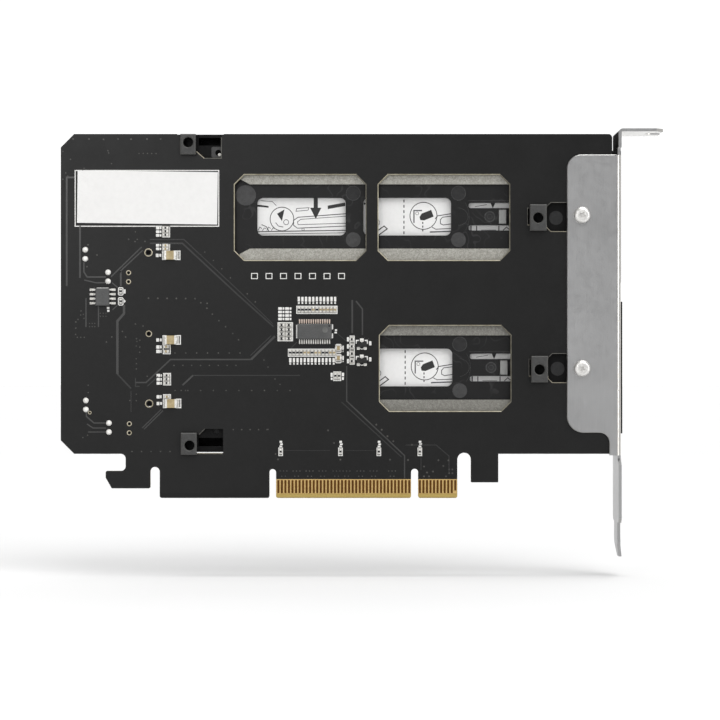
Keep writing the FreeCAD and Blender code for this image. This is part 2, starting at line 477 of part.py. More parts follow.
# ---------------------------------------------------------------- trays
def tray(label, zc, dx):
    b = new_body(label)
    h, y0, ft = D["tray_half"], D["tray_y"], D["tray_floor"]
    x0, x1 = D["tray_x0"] + dx, D["tray_front"] + dx
    xb = x1 - D["bezel_t"]
    y1 = y0 + D["tray_tall"]
    ye = y0 + D["bezel_tall"]
    tw = D["tray_wall"]
    prism(b, "XZ_Plane", y0, y1, polys=[rect(x0, xb, zc - h, zc + h)])
    prism(b, "XZ_Plane", y0 + ft, y1, polys=[rect(x0 + tw, xb - 1.5, zc - h + tw, zc + h - tw)], cut=True)
    prism(b, "XZ_Plane", y0, ye, polys=[rect(xb, x1, zc - h, zc + h)])
    # rear wall opening for the drive's contact edge
    prism(b, "XZ_Plane", y0 + ft, y1, polys=[rect(x0 - 0.1, x0 + tw + 0.1, zc - 11.4, zc + 11.4)], cut=True)
    # rails that carry the drive's long edges, and a stop for the printed card
    prism(b, "XZ_Plane", y0 + ft, y0 + ft + 3.0, polys=[rect(x0 + tw, 12.0 + dx, zc + 11.5, zc + 12.7),
                                                         rect(x0 + tw, 12.0 + dx, zc - 12.7, zc - 11.5),
                                                         rect(34.5 + dx, 36.0 + dx, zc - 9.0, zc + 9.0)])
    # floor openings
    cz = D["cut_z"]
    f = prism(b, "XZ_Plane", y0, y0 + ft, polys=[rect(D["cut_a0"] + dx, D["cut_a1"] + dx, zc - cz, zc + cz),
                                                 rect(D["cut_b0"] + dx, D["cut_b1"] + dx, zc - cz, zc + cz)], cut=True)
    spots = [(u + dx, zc + s * cz) for u in (D["cut_a0"], D["cut_a1"], D["cut_b0"], D["cut_b1"]) for s in (1, -1)]
    round_edges(b, "y", spots, 1.6, 8)
    # floor tongue between two slots joined by a cross slot
    t0, t1, th, tg = D["tongue0"] + dx, D["tongue1"] + dx, D["tongue_half"], D["tongue_gap"]
    prism(b, "XZ_Plane", y0, y0 + ft, polys=[[
        (t0, zc + th), (t1 - tg, zc + th), (t1 - tg, zc - th), (t0, zc - th), (t0, zc - th - tg), (t1, zc - th - tg),
        (t1, zc + th + tg), (t0, zc + th + tg)]], cut=True)
    round_edges(b, "y", [(t0, zc + th + tg), (t0, zc + th), (t0, zc - th), (t0, zc - th - tg)], 0.6, 4)
    # hole in the tongue for the cover's catch
    prism(b, "XZ_Plane", y0, y0 + ft, polys=[rect(23.7 + dx, 26.9 + dx, zc - 2.1, zc + 2.1)], cut=True)
    # lever recess in the front, finger scoop at its free end
    lh, lt, lw = D["lever_half"], D["lever_t"], D["lever_w"]
    yc = y0 + D["bezel_tall"] / 2
    prism(b, "YZ_Plane", x1 - lt - 0.45, x1 + 0.1, polys=[rect(yc - lw / 2 - 0.15, yc + lw / 2 + 0.15, zc - lh - 1.6, zc + lh + 0.5)], cut=True)
    prism(b, "YZ_Plane", x1 - 1.6, x1 + 0.1, polys=[rect(yc - 2.2, yc + 2.2, zc + lh + 0.4, zc + lh + 3.0)], cut=True)
    prism(b, "XZ_Plane", y0 + 1.2, ye - 1.2, circles=[(x1 - lt / 2 - 0.2, zc - lh, D["pin_r"] + 0.0)], cut=True)
    # cooling slots through the front
    vents = []
    for k in range(6):
        z = zc - 12.5 + 5.0 * k
        vents.append(rect(y0 + 1.0, y0 + 1.9, z - 1.7, z + 1.7))
        vents.append(rect(ye - 1.9, ye - 1.0, z - 1.7, z + 1.7))
    prism(b, "YZ_Plane", xb - 1.6, x1 + 0.1, polys=[v for v in vents], cut=True)
    return b


upper_tray = tray("upper_tray", D["bay_up"], q(0.0))
lower_tray = tray("lower_tray", D["bay_lo"], D["lo_shift"])


def tray_cover(label, zc, dx):
    b = new_body(label)
    h = D["tray_half"] - 0.15
    y0 = D["tray_y"] + D["tray_tall"] + 0.03
    x0, x1 = D["tray_x0"] + dx + 0.3, D["tray_front"] + dx - D["bezel_t"] - 0.25
    prism(b, "XZ_Plane", y0, y0 + D["lid_t"], polys=[rect(x0, x1, zc - h, zc + h)])
    fins = [rect(x0 + 3.0, x1 - 6.0, zc - 15.6 + 2.4 * k, zc - 14.6 + 2.4 * k) for k in range(14)]
    prism(b, "XZ_Plane", y0 + D["lid_t"] - 0.05, y0 + D["lid_t"] + 1.0, polys=fins)
    return b


def tray_catch(label, zc, dx):
    # hooked leg of the cover: a foot that shows in the tongue's hole, and a post up to the cover
    b = new_body(label)
    y0 = D["tray_y"] + 0.25
    top = D["tray_y"] + D["tray_tall"] + 0.0
    prism(b, "XZ_Plane", y0, y0 + 2.2, polys=[rect(23.95 + dx, 26.0 + dx, zc - 2.0, zc + 2.0)])
    prism(b, "XZ_Plane", y0 + 2.2, top, polys=[rect(24.6 + dx, 26.0 + dx, zc - 2.0, zc + 2.0)])
    return b


def plate_box(label, x0, x1, y0, y1, z0, z1):
    o = doc.addObject("Part::Box", label)
    o.Label = label
    x0, x1, y0, y1, z0, z1 = [q(v) for v in (x0, x1, y0, y1, z0, z1)]
    for prop, v in (("Length", x1 - x0), ("Width", y1 - y0), ("Height", z1 - z0)):
        setattr(o, prop, v.val)
        if "sheet." in v.ex:
            o.setExpression(prop, v.ex)
    o.Placement = Placement(Vector(x0.val, y0.val, z0.val), Rotation())
    return o


def tray_set(prefix, zc, dx):
    tray_cover(prefix + "_tray_cover", zc, dx)
    tray_catch(prefix + "_cover_catch", zc, dx)
    ty = D["tray_y"] + D["tray_floor"] + 0.03
    # printed card, with a cut-out round the catch
    b = new_body(prefix + "_printed_card")
    prism(b, "XZ_Plane", ty, ty + D["card_t"], polys=[rect(-49.5 + dx, 34.2 + dx, zc - 10.9, zc + 10.9),
                                                      rect(23.4 + dx, 27.2 + dx, zc - 2.3, zc + 2.3)])
    lid = D["tray_y"] + D["tray_tall"]
    plate_box(prefix + "_thermal_pad", -58.0 + dx, 11.0 + dx, lid + 0.02 - D["pad_t"], lid + 0.02, zc - 10.5, zc + 10.5)
    # swing-out lever: a bar turning on the pin, its foot end rounded about the pin
    x1 = D["tray_front"] + dx
    yc = D["tray_y"] + D["bezel_tall"] / 2
    lw, lt, lh = D["lever_w"], D["lever_t"], D["lever_half"]
    px = x1 - lt / 2 - 0.2
    v = new_body(prefix + "_tray_lever")
    prism(v, "XZ_Plane", yc - lw / 2, yc + lw / 2, polys=[
        [(px - lt / 2, zc - lh - lt / 2), (px + lt / 2, zc - lh - lt / 2), (px + lt / 2, zc + lh), (px - lt / 2, zc + lh)]],
        circles=[])
    round_edges(v, "y", [(px - lt / 2, zc - lh - lt / 2), (px + lt / 2, zc - lh - lt / 2)], lt / 2 - 0.005, 2)
    prism(v, "XZ_Plane", yc - lw / 2, yc + lw / 2, circles=[(px, zc - lh, D["pin_r"] + D["pin_gap"])], cut=True)
    prism(v, "YZ_Plane", px - lt / 2, px + lt / 2, polys=[rect(yc - 1.4, yc + 1.4, zc - 6.0, zc + 7.0)], cut=True)
    round_edges(v, "y", [(px + lt / 2, zc + lh)], 0.8, 1)
    pin = doc.addObject("Part::Cylinder", prefix + "_lever_pin")
    pin.Label = prefix + "_lever_pin"
    pin.setExpression("Radius", "sheet.pin_r - 0.01")
    plen = D["bezel_tall"] - 2.5
    pin.setExpression("Height", plen.ex)
    pin.Placement = Placement(Vector(px.val, yc.val + plen.val / 2, (zc - lh).val), Rotation(Vector(1, 0, 0), 90))


tray_set("upper", D["bay_up"], q(0.0))
tray_set("lower", D["bay_lo"], D["lo_shift"])

# ---------------------------------------------------------------- rack cover and its screws
cover = new_body("rack_cover")
yc0 = yb1 + 0.02
prism(cover, "XZ_Plane", yc0, yc0 + 0.8, polys=[rect(rl, rr, r0, r1)],
      circles=[(x, z, 0.95) for x, z in CS] + [(x, z, r) for x, z, r in PEEK])
vent = prism(cover, "XZ_Plane", yc0, yc0 + 0.8, polys=[
    octagon(-50.0, -44.0, zc + s * 8.2 - 5.6, zc + s * 8.2 + 5.6, 0.9) for zc in (zu, zl) for s in (-1, 1)], cut=True)
row = cover.newObject("PartDesign::LinearPattern", "cover_vent_row")
row.Originals = [vent]
row.Direction = (vent.Profile[0], ["H_Axis"])
row.Length = 90.0
row.Occurrences = 11
cover.Tip = row
doc.recompute()
round_edges(cover, "y", [(rl, r0), (rl, r1), (rr, r0), (rr, r1)], 1.5, 4)
cs_shapes = []
for x, z in CS:
    head = Part.makeCylinder(1.75, 0.22, Vector(x, yc0.val + 1.04, z), Vector(0, -1, 0))
    shank = Part.makeCylinder(0.85, 5.6, Vector(x, yc0.val + 0.9, z), Vector(0, -1, 0))
    bar1 = Part.makeBox(1.8, 0.2, 0.35, Vector(x - 0.9, yc0.val + 0.95, z - 0.175))
    bar2 = Part.makeBox(0.35, 0.2, 1.8, Vector(x - 0.175, yc0.val + 0.95, z - 0.9))
    cs_shapes.append(head.fuse(shank).cut(bar1).cut(bar2))


def feature(label, shapes):
    o = doc.addObject("Part::Feature", label)
    o.Label = label
    o.Shape = shapes[0] if len(shapes) == 1 else Part.makeCompound(shapes)
    o.Placement = Placement()
    return o


feature("cover_screws", cs_shapes)

# ---------------------------------------------------------------- light pipes
pipes = []
for y in (5.2, 10.6):
    pipes.append(Part.makeCylinder(1.0, V("br_x") + 0.15 - 46.0, Vector(46.0, y, 58.14), Vector(1, 0, 0)))
feature("light_pipes", pipes)

# ---------------------------------------------------------------- M.2 sockets
def socket(label, zc, pegs):
    b = new_body(label)
    prism(b, "XZ_Plane", CMP, CMP + 6.6, polys=[rect(-77.6, -69.2, zc - 10.95, zc + 10.95)])
    prism(b, "YZ_Plane", -74.4, -69.1, polys=[rect(4.75, 5.75, zc - 10.2, zc + 10.2)], cut=True)
    prism(b, "XZ_Plane", SOL + 0.35, CMP + 0.2, circles=pegs)
    prism(b, "XZ_Plane", CMP + 5.2, CMP + 6.7, polys=[rect(-77.7, -75.4, zc - 9.6, zc + 9.6)], cut=True)
    return b


socket("upper_m2_socket", D["bay_up"], [(PEGS[0][0], PEGS[0][1], 0.78), (PEGS[1][0], PEGS[1][1], 0.55)])
socket("lower_m2_socket", D["bay_lo"], [(PEGS[2][0], PEGS[2][1], 0.78), (PEGS[3][0], PEGS[3][1], 0.55)])
tails = []
for zc in (V("bay_up"), V("bay_lo")):
    for k in range(38):
        z = zc - 9.25 + 0.5 * k
        if 25 <= k <= 28:
            continue
        tails.append(Part.makeBox(1.1, 0.15, 0.22, Vector(-78.75, CMP.val + 0.01, z - 0.11)))
        tails.append(Part.makeBox(0.13, 0.9, 0.22, Vector(-77.78, CMP.val + 0.16, z - 0.11)))
joined = []
for k in range(0, len(tails), 2):
    joined.append(tails[k].fuse(tails[k + 1]))
feature("socket_contacts", joined)

# ---------------------------------------------------------------- headers on the component side
bases, pins = [], []
for k in range(0, len(PINS), 2):
    (xa, za), (xb_, zb) = PINS[k], PINS[k + 1]
    zc = (za + zb) / 2
    deep = 2.5 if k % 4 == 0 else 8.3        # the wide ones back the two empty holes beside their pins
    body_ = Part.makeBox(deep, 2.5, 5.08, Vector(xa - 1.25, CMP.val + 0.02, zc - 2.54))
    for z in (za, zb):
        body_ = body_.cut(Part.makeBox(0.66, 3.0, 0.66, Vector(xa - 0.33, CMP.val - 0.1, z - 0.33)))
        pins.append(Part.makeBox(0.64, 9.6, 0.64, Vector(xa - 0.32, SOL.val - 0.75, z - 0.32)))
    bases.append(body_)
feature("header_bases", bases)
feature("header_pins", pins)

# ---------------------------------------------------------------- parts on the solder side
def chip(x, z, lx, lz, tall, gap=0.1):
    s = Part.makeBox(lx, tall, lz, Vector(x - lx / 2, SOL.val - gap - tall, z - lz / 2))
    top = [i for i in s.Edges if abs(i.BoundBox.YMin - (SOL.val - gap - tall)) < 1e-6 and abs(i.BoundBox.YMax - i.BoundBox.YMin) < 1e-6]
    return s.makeChamfer(min(lx, lz) * 0.06, top)


feature("memory_chip", [chip(-88.15, 56.82, 3.9, 4.9, 1.45)])
feature("clock_chip", [chip(-28.26, 47.05, 9.7, 4.4, 1.0)])
feature("transistors", [chip(-14.92, 43.37, 2.9, 1.3, 1.0), chip(-14.92, 38.80, 2.9, 1.3, 1.0)])


def lead(x, z, ux, uz, reach, wide, rise, foot):
    """A gull-wing lead from the body's side at (x, z), running along (ux, uz)."""
    y = SOL.val
    t = 0.13
    prof = [(0, rise), (reach * 0.35, rise), (reach * 0.55, t), (reach, t), (reach, 0), (reach * 0.5, 0),
            (reach * 0.3, rise - t), (0, rise - t)]
    pts = [Vector(x + ux * a, y - 0.01 - h_, z + uz * a) for a, h_ in prof]
    pts.append(pts[0])
    side = Vector(abs(uz), 0, abs(ux)) * wide
    f = Part.Face(Part.makePolygon(pts))
    f.translate(side * -0.5)
    s = f.extrude(side)
    return s


leads = []
for k in range(4):
    z = 56.98 + (1.5 - k) * 1.27
    leads.append(lead(-88.15 - 1.96, z, -1, 0, 1.05, 0.42, 0.72, 0))
    leads.append(lead(-88.15 + 1.96, z, 1, 0, 1.05, 0.42, 0.72, 0))
for k in range(14):
    x = -28.26 + (k - 6.5) * 0.65
    leads.append(lead(x, 47.05 + 2.21, 0, 1, 1.0, 0.22, 0.52, 0))
    leads.append(lead(x, 47.05 - 2.21, 0, -1, 1.0, 0.22, 0.52, 0))
for z in (43.37, 38.80):
    leads.append(lead(-14.92, z + 0.66, 0, 1, 0.55, 0.4, 0.52, 0))
    for s in (-0.95, 0.95):
        leads.append(lead(-14.92 + s, z - 0.66, 0, -1, 0.55, 0.4, 0.52, 0))
feature("chip_leads", leads)

# two-terminal parts: x, z, length along X or Z, kind (r resistor, c capacitor)
SMALL = []


def put(x, z, along, kind, size):
    SMALL.append((x, z, along, kind, size))


for k, c in enumerate("rrrrcrccccc"):
    put(-32.69 + k * 1.017, 53.24, "z", c, "s")
for k, c in enumerate("rrrrccrccrrcc"):
    put(-35.18 + k * 1.034, 41.11, "z", c, "s")
for k in range(4):
    put(-37.6, 48.9 - k * 1.27, "x", "r", "s")
    put(-35.55, 48.9 - k * 1.27, "x", "r", "s")
for z in (44.87, 42.87, 40.80, 38.71):
    put(-17.75, z, "x", "r", "s")
put(-21.53, 42.4, "x", "c", "m")
put(-21.53, 39.6, "x", "c", "m")
for x in (-22.41, -21.33):
    put(x, 34.56, "z", "r", "s")
for x in (-37.85, -20.95, -10.1, 1.47):
    put(x, 13.15, "z", "r", "s")
for z in (58.46, 55.64):
    put(-83.07, z, "z", "r", "s")
for z in (76.38, 75.42, 74.38):
    put(-70.4, z, "x", "r", "s")
for z in (71.4, 70.42):
    put(-70.4, z, "x", "c", "s")
for z in (42.78, 41.45):
    put(-70.25, z, "x", "c", "s")
for z in (34.67, 33.6, 32.52):
    put(-70.1, z, "x", "r", "s")
put(-70.0, 28.62, "x", "c", "s")
SZ = {"s": (1.05, 0.55, 0.38), "m": (1.6, 0.85, 0.5)}
res, cap, term = [], [], []
for x, z, along, kind, size in SMALL:
    ln, wd, tl = SZ[size]
    en = ln * 0.24
    mid = ln - 2 * en

    def blk(a0, a1, half, y0, y1):
        if along == "x":
            return Part.makeBox(a1 - a0, y1 - y0, 2 * half, Vector(x + a0, SOL.val - y1, z - half))
        return Part.makeBox(2 * half, y1 - y0, a1 - a0, Vector(x - half, SOL.val - y1, z + a0))

    (res if kind == "r" else cap).append(blk(-mid / 2, mid / 2, wd / 2, 0.03, tl))
    for s in (-1, 1):
        a0, a1 = sorted((s * mid / 2, s * ln / 2))
        term.append(blk(a0, a1, wd / 2 + 0.01, 0.01, tl + 0.02))
BIG = [(-69.03, 68.61), (-68.9, 44.7), (-68.8, 26.75)]
big, bterm = [], []
for x, z in BIG:
    big.append(Part.makeBox(2.15, 1.5, 2.45, Vector(x - 1.075, SOL.val - 1.55, z - 1.225)))
    for s in (-1, 1):
        a0, a1 = sorted((s * 1.075, s * 1.62))
        bterm.append(Part.makeBox(a1 - a0, 1.55, 2.5, Vector(x + a0, SOL.val - 1.57, z - 1.25)))
feature("chip_resistors", res)
feature("chip_capacitors", cap)
feature("part_terminals", term + bterm)
feature("large_capacitors", big)

# ---------------------------------------------------------------- blank label, set a little askew
label = doc.addObject("Part::Box", "blank_label")
label.Label = "blank_label"
label.setExpression("Length", "sheet.label_w")
label.setExpression("Width", "sheet.label_t")
label.setExpression("Height", "sheet.label_tall")
doc.recompute()
label.Placement = Placement(Vector(-75.5, SOL.val - V("label_t") - 0.005, 84.95), Rotation(Vector(0, 1, 0), 0.72)).multiply(
    Placement(Vector(-V("label_w") / 2, 0, -V("label_tall") / 2), Rotation()))

doc.recompute()

NODES = [
    "pcb", "bracket", "bracket_screws", "rack_base", "rack_cover", "cover_screws", "upper_bay_rails", "lower_bay_rails",
    "light_pipes", "upper_m2_socket", "lower_m2_socket", "socket_contacts", "header_bases", "header_pins",
    "memory_chip", "clock_chip", "transistors", "chip_leads", "chip_resistors", "chip_capacitors", "part_terminals",
    "large_capacitors", "blank_label",
    "upper_tray", "upper_tray_cover", "upper_cover_catch", "upper_printed_card", "upper_thermal_pad", "upper_lever_pin",
    "upper_tray_lever",
    "lower_tray", "lower_tray_cover", "lower_cover_catch", "lower_printed_card", "lower_thermal_pad", "lower_lever_pin",
    "lower_tray_lever",
]
for o in doc.Objects:
    if "Invalid" in o.State or "Error" in o.State:
        raise RuntimeError("object failed: %s %s" % (o.Name, o.State))
found = {}
for name in NODES:
    objs = doc.getObjectsByLabel(name)
    if len(objs) != 1:
        raise RuntimeError("label %s: %d objects" % (name, len(objs)))
    s = objs[0].Shape
    if s.isNull() or not s.isValid() or not s.Solids:
        raise RuntimeError("bad shape: " + name)
    found[name] = objs[0]
for name in NODES:
    s = found[name].Shape
    s.exportStep(os.path.join("parts", name + ".step"))
    bb = s.BoundBox
    print("%-20s solids %3d  vol %9.2f  x %.2f..%.2f y %.2f..%.2f z %.2f..%.2f" % (
        name, len(s.Solids), s.Volume, bb.XMin, bb.XMax, bb.YMin, bb.YMax, bb.ZMin, bb.ZMax))
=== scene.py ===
import math
import random

import bmesh
import bpy
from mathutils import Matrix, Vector


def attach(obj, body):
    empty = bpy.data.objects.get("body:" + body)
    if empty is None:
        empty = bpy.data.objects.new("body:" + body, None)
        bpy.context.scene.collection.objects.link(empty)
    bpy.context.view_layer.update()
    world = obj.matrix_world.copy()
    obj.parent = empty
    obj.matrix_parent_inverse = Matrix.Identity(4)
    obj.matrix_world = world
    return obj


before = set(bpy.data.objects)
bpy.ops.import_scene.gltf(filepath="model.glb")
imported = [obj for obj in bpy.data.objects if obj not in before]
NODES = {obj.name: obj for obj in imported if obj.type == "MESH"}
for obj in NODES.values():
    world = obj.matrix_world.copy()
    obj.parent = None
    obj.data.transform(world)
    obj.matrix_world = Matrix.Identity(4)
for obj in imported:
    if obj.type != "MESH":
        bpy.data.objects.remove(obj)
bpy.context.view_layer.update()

MM = 0.001
SOLDER = -0.785       # solder face of the board, mm
PARTS_FACE = 0.785    # component face of the board, mm

# ------------------------------------------------------------------ materials

MATS = {}


class Mat:
    """A node material with short helpers; coordinates are the piece's own, in metres."""

    def __init__(self, name):
        self.m = bpy.data.materials.new(name)
        self.m.use_nodes = True
        self.t = self.m.node_tree
        self.n = self.t.nodes
        self.l = self.t.links
        self.b = self.n["Principled BSDF"]
        self.co = self.n.new("ShaderNodeTexCoord")
        MATS[name] = self.m

    def link(self, a, b):
        self.l.new(a, b)

    def scaled(self, sx=1.0, sy=1.0, sz=1.0, rot=(0, 0, 0)):
        mp = self.n.new("ShaderNodeMapping")
        mp.inputs["Scale"].default_value = (sx, sy, sz)
        mp.inputs["Rotation"].default_value = rot
        self.link(self.co.outputs["Object"], mp.inputs["Vector"])
        return mp.outputs["Vector"]

    def noise(self, scale, detail=3.0, rough=0.55, vec=None, distort=0.0):
        t = self.n.new("ShaderNodeTexNoise")
        t.inputs["Scale"].default_value = scale
        t.inputs["Detail"].default_value = detail
        t.inputs["Roughness"].default_value = rough
        t.inputs["Distortion"].default_value = distort
        self.link(vec if vec is not None else self.co.outputs["Object"], t.inputs["Vector"])
        return t.outputs["Fac"]

    def voronoi(self, scale, vec=None, out="Distance", feature="F1"):
        t = self.n.new("ShaderNodeTexVoronoi")
        t.feature = feature
        t.inputs["Scale"].default_value = scale
        self.link(vec if vec is not None else self.co.outputs["Object"], t.inputs["Vector"])
        return t.outputs[out]

    def wave(self, scale, axis="X", vec=None, distort=0.0):
        t = self.n.new("ShaderNodeTexWave")
        t.bands_direction = axis
        t.inputs["Scale"].default_value = scale
        t.inputs["Distortion"].default_value = distort
        self.link(vec if vec is not None else self.co.outputs["Object"], t.inputs["Vector"])
        return t.outputs["Fac"]

    def ramp(self, fac, stops, smooth=False):
        r = self.n.new("ShaderNodeValToRGB")
        if smooth:
            r.color_ramp.interpolation = "EASE"
        e = r.color_ramp.elements
        while len(e) < len(stops):
            e.new(0.5)
        for k, (p, c) in enumerate(stops):
            e[k].position = p
            e[k].color = (c, c, c, 1) if isinstance(c, (int, float)) else (*c, 1)
        self.link(fac, r.inputs["Fac"])
        return r.outputs["Color"]

    def mix(self, fac, a, b, mode="MIX"):
        m = self.n.new("ShaderNodeMix")
        m.data_type = "RGBA"
        m.blend_type = mode
        if isinstance(fac, (int, float)):
            m.inputs[0].default_value = fac
        else:
            self.link(fac, m.inputs[0])
        for k, v in ((6, a), (7, b)):
            if isinstance(v, tuple):
                m.inputs[k].default_value = (*v, 1)
            else:
                self.link(v, m.inputs[k])
        return m.outputs[2]

    def math(self, op, a, b=0.0, c=None, clamp=False):
        m = self.n.new("ShaderNodeMath")
        m.operation = op
        m.use_clamp = clamp
        for k, v in enumerate((a, b) if c is None else (a, b, c)):
            if isinstance(v, (int, float)):
                m.inputs[k].default_value = v
            else:
                self.link(v, m.inputs[k])
        return m.outputs[0]

    def xyz(self, src):
        s = self.n.new("ShaderNodeSeparateXYZ")
        self.link(src, s.inputs[0])
        return s.outputs[0], s.outputs[1], s.outputs[2]

    def between(self, v, lo, hi):
        """1 where lo < v < hi."""
        a = self.math("GREATER_THAN", v, lo)
        b = self.math("LESS_THAN", v, hi)
        return self.math("MULTIPLY", a, b)

    def bump(self, height, strength, dist=0.0001):
        b = self.n.new("ShaderNodeBump")
        b.inputs["Strength"].default_value = strength
        b.inputs["Distance"].default_value = dist
        self.link(height, b.inputs["Height"])
        self.link(b.outputs["Normal"], self.b.inputs["Normal"])
        return b

    def color(self, c):
        if isinstance(c, tuple):
            self.b.inputs["Base Color"].default_value = (*c, 1)
        else:
            self.link(c, self.b.inputs["Base Color"])

    def rough(self, r):
        if isinstance(r, (int, float)):
            self.b.inputs["Roughness"].default_value = r
        else:
            self.link(r, self.b.inputs["Roughness"])

    def set(self, **kw):
        for k, v in kw.items():
            self.b.inputs[k.replace("_", " ")].default_value = v


def speckle(name, dark, light, scale, rough_lo, rough_hi, grain=0.0, metallic=0.0, bump_scale=None, spec=0.5):
    """Base for moulded and coated surfaces: two tones, uneven sheen, fine relief."""
    m = Mat(name)
    big = m.noise(scale, 4)
    m.color(m.ramp(big, [(0.3, dark), (0.7, light)]))
    m.rough(m.ramp(m.noise(scale * 3.1, 3), [(0.3, rough_lo), (0.7, rough_hi)]))
    m.set(Metallic=metallic)
    m.b.inputs["Specular IOR Level"].default_value = spec
    if grain:
        m.bump(m.noise(bump_scale or 4000, 2), grain, 0.00004)
    return m


# circuit board: solder mask on the faces, bare laminate on the edges, gold along the contact bevel; the rounded rims
# carry painted light, a painted highlight on most sides and painted shade where they face -X
m = Mat("board_mask")
pos = m.xyz(m.co.outputs["Object"])
nrm = m.xyz(m.co.outputs["Normal"])
weave_a = m.wave(520, "X", m.scaled(1, 1, 1), 1.2)
weave_b = m.wave(520, "Z", m.scaled(1, 1, 1), 1.2)
weave = m.math("ADD", weave_a, weave_b)
mask_tone = m.ramp(m.noise(38, 4, 0.6), [(0.3, (0.0038, 0.0038, 0.0038)), (0.72, (0.0056, 0.0056, 0.0056))])
blotch = m.ramp(m.noise(900, 3), [(0.42, 0.0), (0.75, 1.0)])
mask_col = m.mix(m.math("MULTIPLY", blotch, 0.35), mask_tone, (0.0085, 0.0085, 0.0085))
ny = m.math("ABSOLUTE", nrm[1])
edge_col = m.ramp(m.wave(900, "Y", m.scaled(1, 1, 1), 0.6), [(0.2, (0.10, 0.085, 0.05)), (0.8, (0.20, 0.165, 0.095))])
# rounded rims: bare laminate colour with painted light, lighter as a painted highlight, and darker as painted shade on
# rims facing -X
rim_lit = m.ramp(m.noise(700, 3), [(0.3, (0.26, 0.235, 0.17)), (0.7, (0.44, 0.41, 0.31))])
board_rim_painted_shade = m.ramp(m.noise(700, 3), [(0.3, (0.06, 0.058, 0.05)), (0.7, (0.13, 0.125, 0.105))])
rim_col = m.mix(m.math("MULTIPLY", m.math("LESS_THAN", nrm[0], -0.3), 0.75), rim_lit, board_rim_painted_shade)
is_edge = m.math("LESS_THAN", ny, 0.3)
is_rim = m.between(ny, 0.3, 0.9)
col = m.mix(is_edge, mask_col, edge_col)
col = m.mix(is_rim, col, rim_col)
on_x = m.math("ADD", m.between(pos[0], -0.0392, -0.00095), m.between(pos[0], 0.00095, 0.0122))
in_z = m.math("LESS_THAN", pos[2], 0.0013)
is_bevel = m.math("MULTIPLY", m.math("MULTIPLY", on_x, in_z), m.between(ny, 0.3, 0.99))
bev = m.ramp(m.math("DIVIDE", pos[2], 0.0013), [(0.0, (0.20, 0.15, 0.050)), (0.35, (0.40, 0.29, 0.080)), (0.8, (0.39, 0.27, 0.075)), (1.0, (0.32, 0.21, 0.06))])
bev = m.mix(m.ramp(m.noise(1, 3, 0.6, m.scaled(9000, 400, 400)), [(0.35, 0.0), (0.7, 0.55)]), bev, (0.46, 0.35, 0.12))
col = m.mix(is_bevel, col, bev)
m.color(col)
sheen = m.ramp(m.noise(160, 3), [(0.3, 0.34), (0.7, 0.40)])
m.rough(m.mix(is_edge, sheen, (0.75, 0.75, 0.75)))
m.b.inputs["Specular IOR Level"].default_value = 0.24
hgt = m.math("ADD", m.math("MULTIPLY", weave, 0.25), m.noise(2600, 2))
m.bump(hgt, 0.12, 0.00003)

# copper under the mask shows as a slightly raised, lighter line
m = Mat("mask_over_copper")
m.color(m.ramp(m.noise(60, 3), [(0.3, (0.017, 0.017, 0.017)), (0.7, (0.034, 0.034, 0.033))]))
m.rough(m.ramp(m.noise(900, 2), [(0.3, 0.28), (0.7, 0.36)]))
m.bump(m.noise(3000, 2), 0.1, 0.00003)

m = Mat("mask_over_copper_deep")
m.color(m.ramp(m.noise(60, 3), [(0.3, (0.0075, 0.0075, 0.0075)), (0.7, (0.0125, 0.0125, 0.0124))]))
m.rough(m.ramp(m.noise(900, 2), [(0.3, 0.28), (0.7, 0.36)]))
m.bump(m.noise(3000, 2), 0.1, 0.00003)

m = Mat("mask_over_via")
m.color(m.ramp(m.noise(180, 2), [(0.3, (0.018, 0.018, 0.017)), (0.7, (0.060, 0.058, 0.052))]))
m.rough(m.ramp(m.noise(900, 2), [(0.3, 0.36), (0.7, 0.45)]))
m.bump(m.noise(3000, 2), 0.1, 0.00003)

m = Mat("gold_plate")
g = m.noise(1, 3, 0.6, m.scaled(2500, 2500, 260))
m.color(m.ramp(g, [(0.25, (0.062, 0.022, 0.001)), (0.75, (0.098, 0.038, 0.002))]))
m.rough(m.ramp(m.noise(1500, 2), [(0.3, 0.40), (0.7, 0.50)]))
m.set(Metallic=0.3)
m.b.inputs["Specular IOR Level"].default_value = 0.2
m.bump(g, 0.1, 0.00002)

m = Mat("contact_gap")
m.color(m.ramp(m.noise(1, 3, 0.5, m.scaled(600, 600, 3000)), [(0.3, (0.40, 0.255, 0.080)), (0.7, (0.50, 0.335, 0.115))]))
m.rough(m.ramp(m.noise(1500, 2), [(0.3, 0.5), (0.7, 0.62)]))
m.bump(m.noise(4000, 2), 0.1, 0.00002)

m = Mat("laminate_shade_painted")
m.color(m.ramp(m.noise(800, 3), [(0.3, (0.055, 0.053, 0.046)), (0.7, (0.11, 0.106, 0.092))]))
m.rough(m.ramp(m.noise(900, 2), [(0.3, 0.55), (0.7, 0.75)]))
m.bump(m.noise(4000, 2), 0.15, 0.00002)

m = Mat("laminate_lit_painted")
m.color(m.ramp(m.noise(800, 3), [(0.3, (0.20, 0.18, 0.135)), (0.7, (0.33, 0.30, 0.23))]))
m.rough(m.ramp(m.noise(900, 2), [(0.3, 0.55), (0.7, 0.75)]))
m.bump(m.noise(4000, 2), 0.15, 0.00002)

m = Mat("plated_ring")
m.color(m.ramp(m.noise(700, 2), [(0.3, (0.27, 0.24, 0.17)), (0.7, (0.46, 0.42, 0.33))]))
m.rough(m.ramp(m.noise(1600, 2), [(0.3, 0.28), (0.7, 0.42)]))
m.set(Metallic=0.7)
m.bump(m.noise(3000, 2), 0.1, 0.00002)

m = Mat("silk_ink")
m.color(m.ramp(m.noise(2600, 3), [(0.25, (0.50, 0.495, 0.475)), (0.65, (0.74, 0.735, 0.715))]))
m.rough(m.ramp(m.noise(1600, 2), [(0.3, 0.5), (0.7, 0.65)]))
m.bump(m.noise(5000, 2), 0.2, 0.00002)

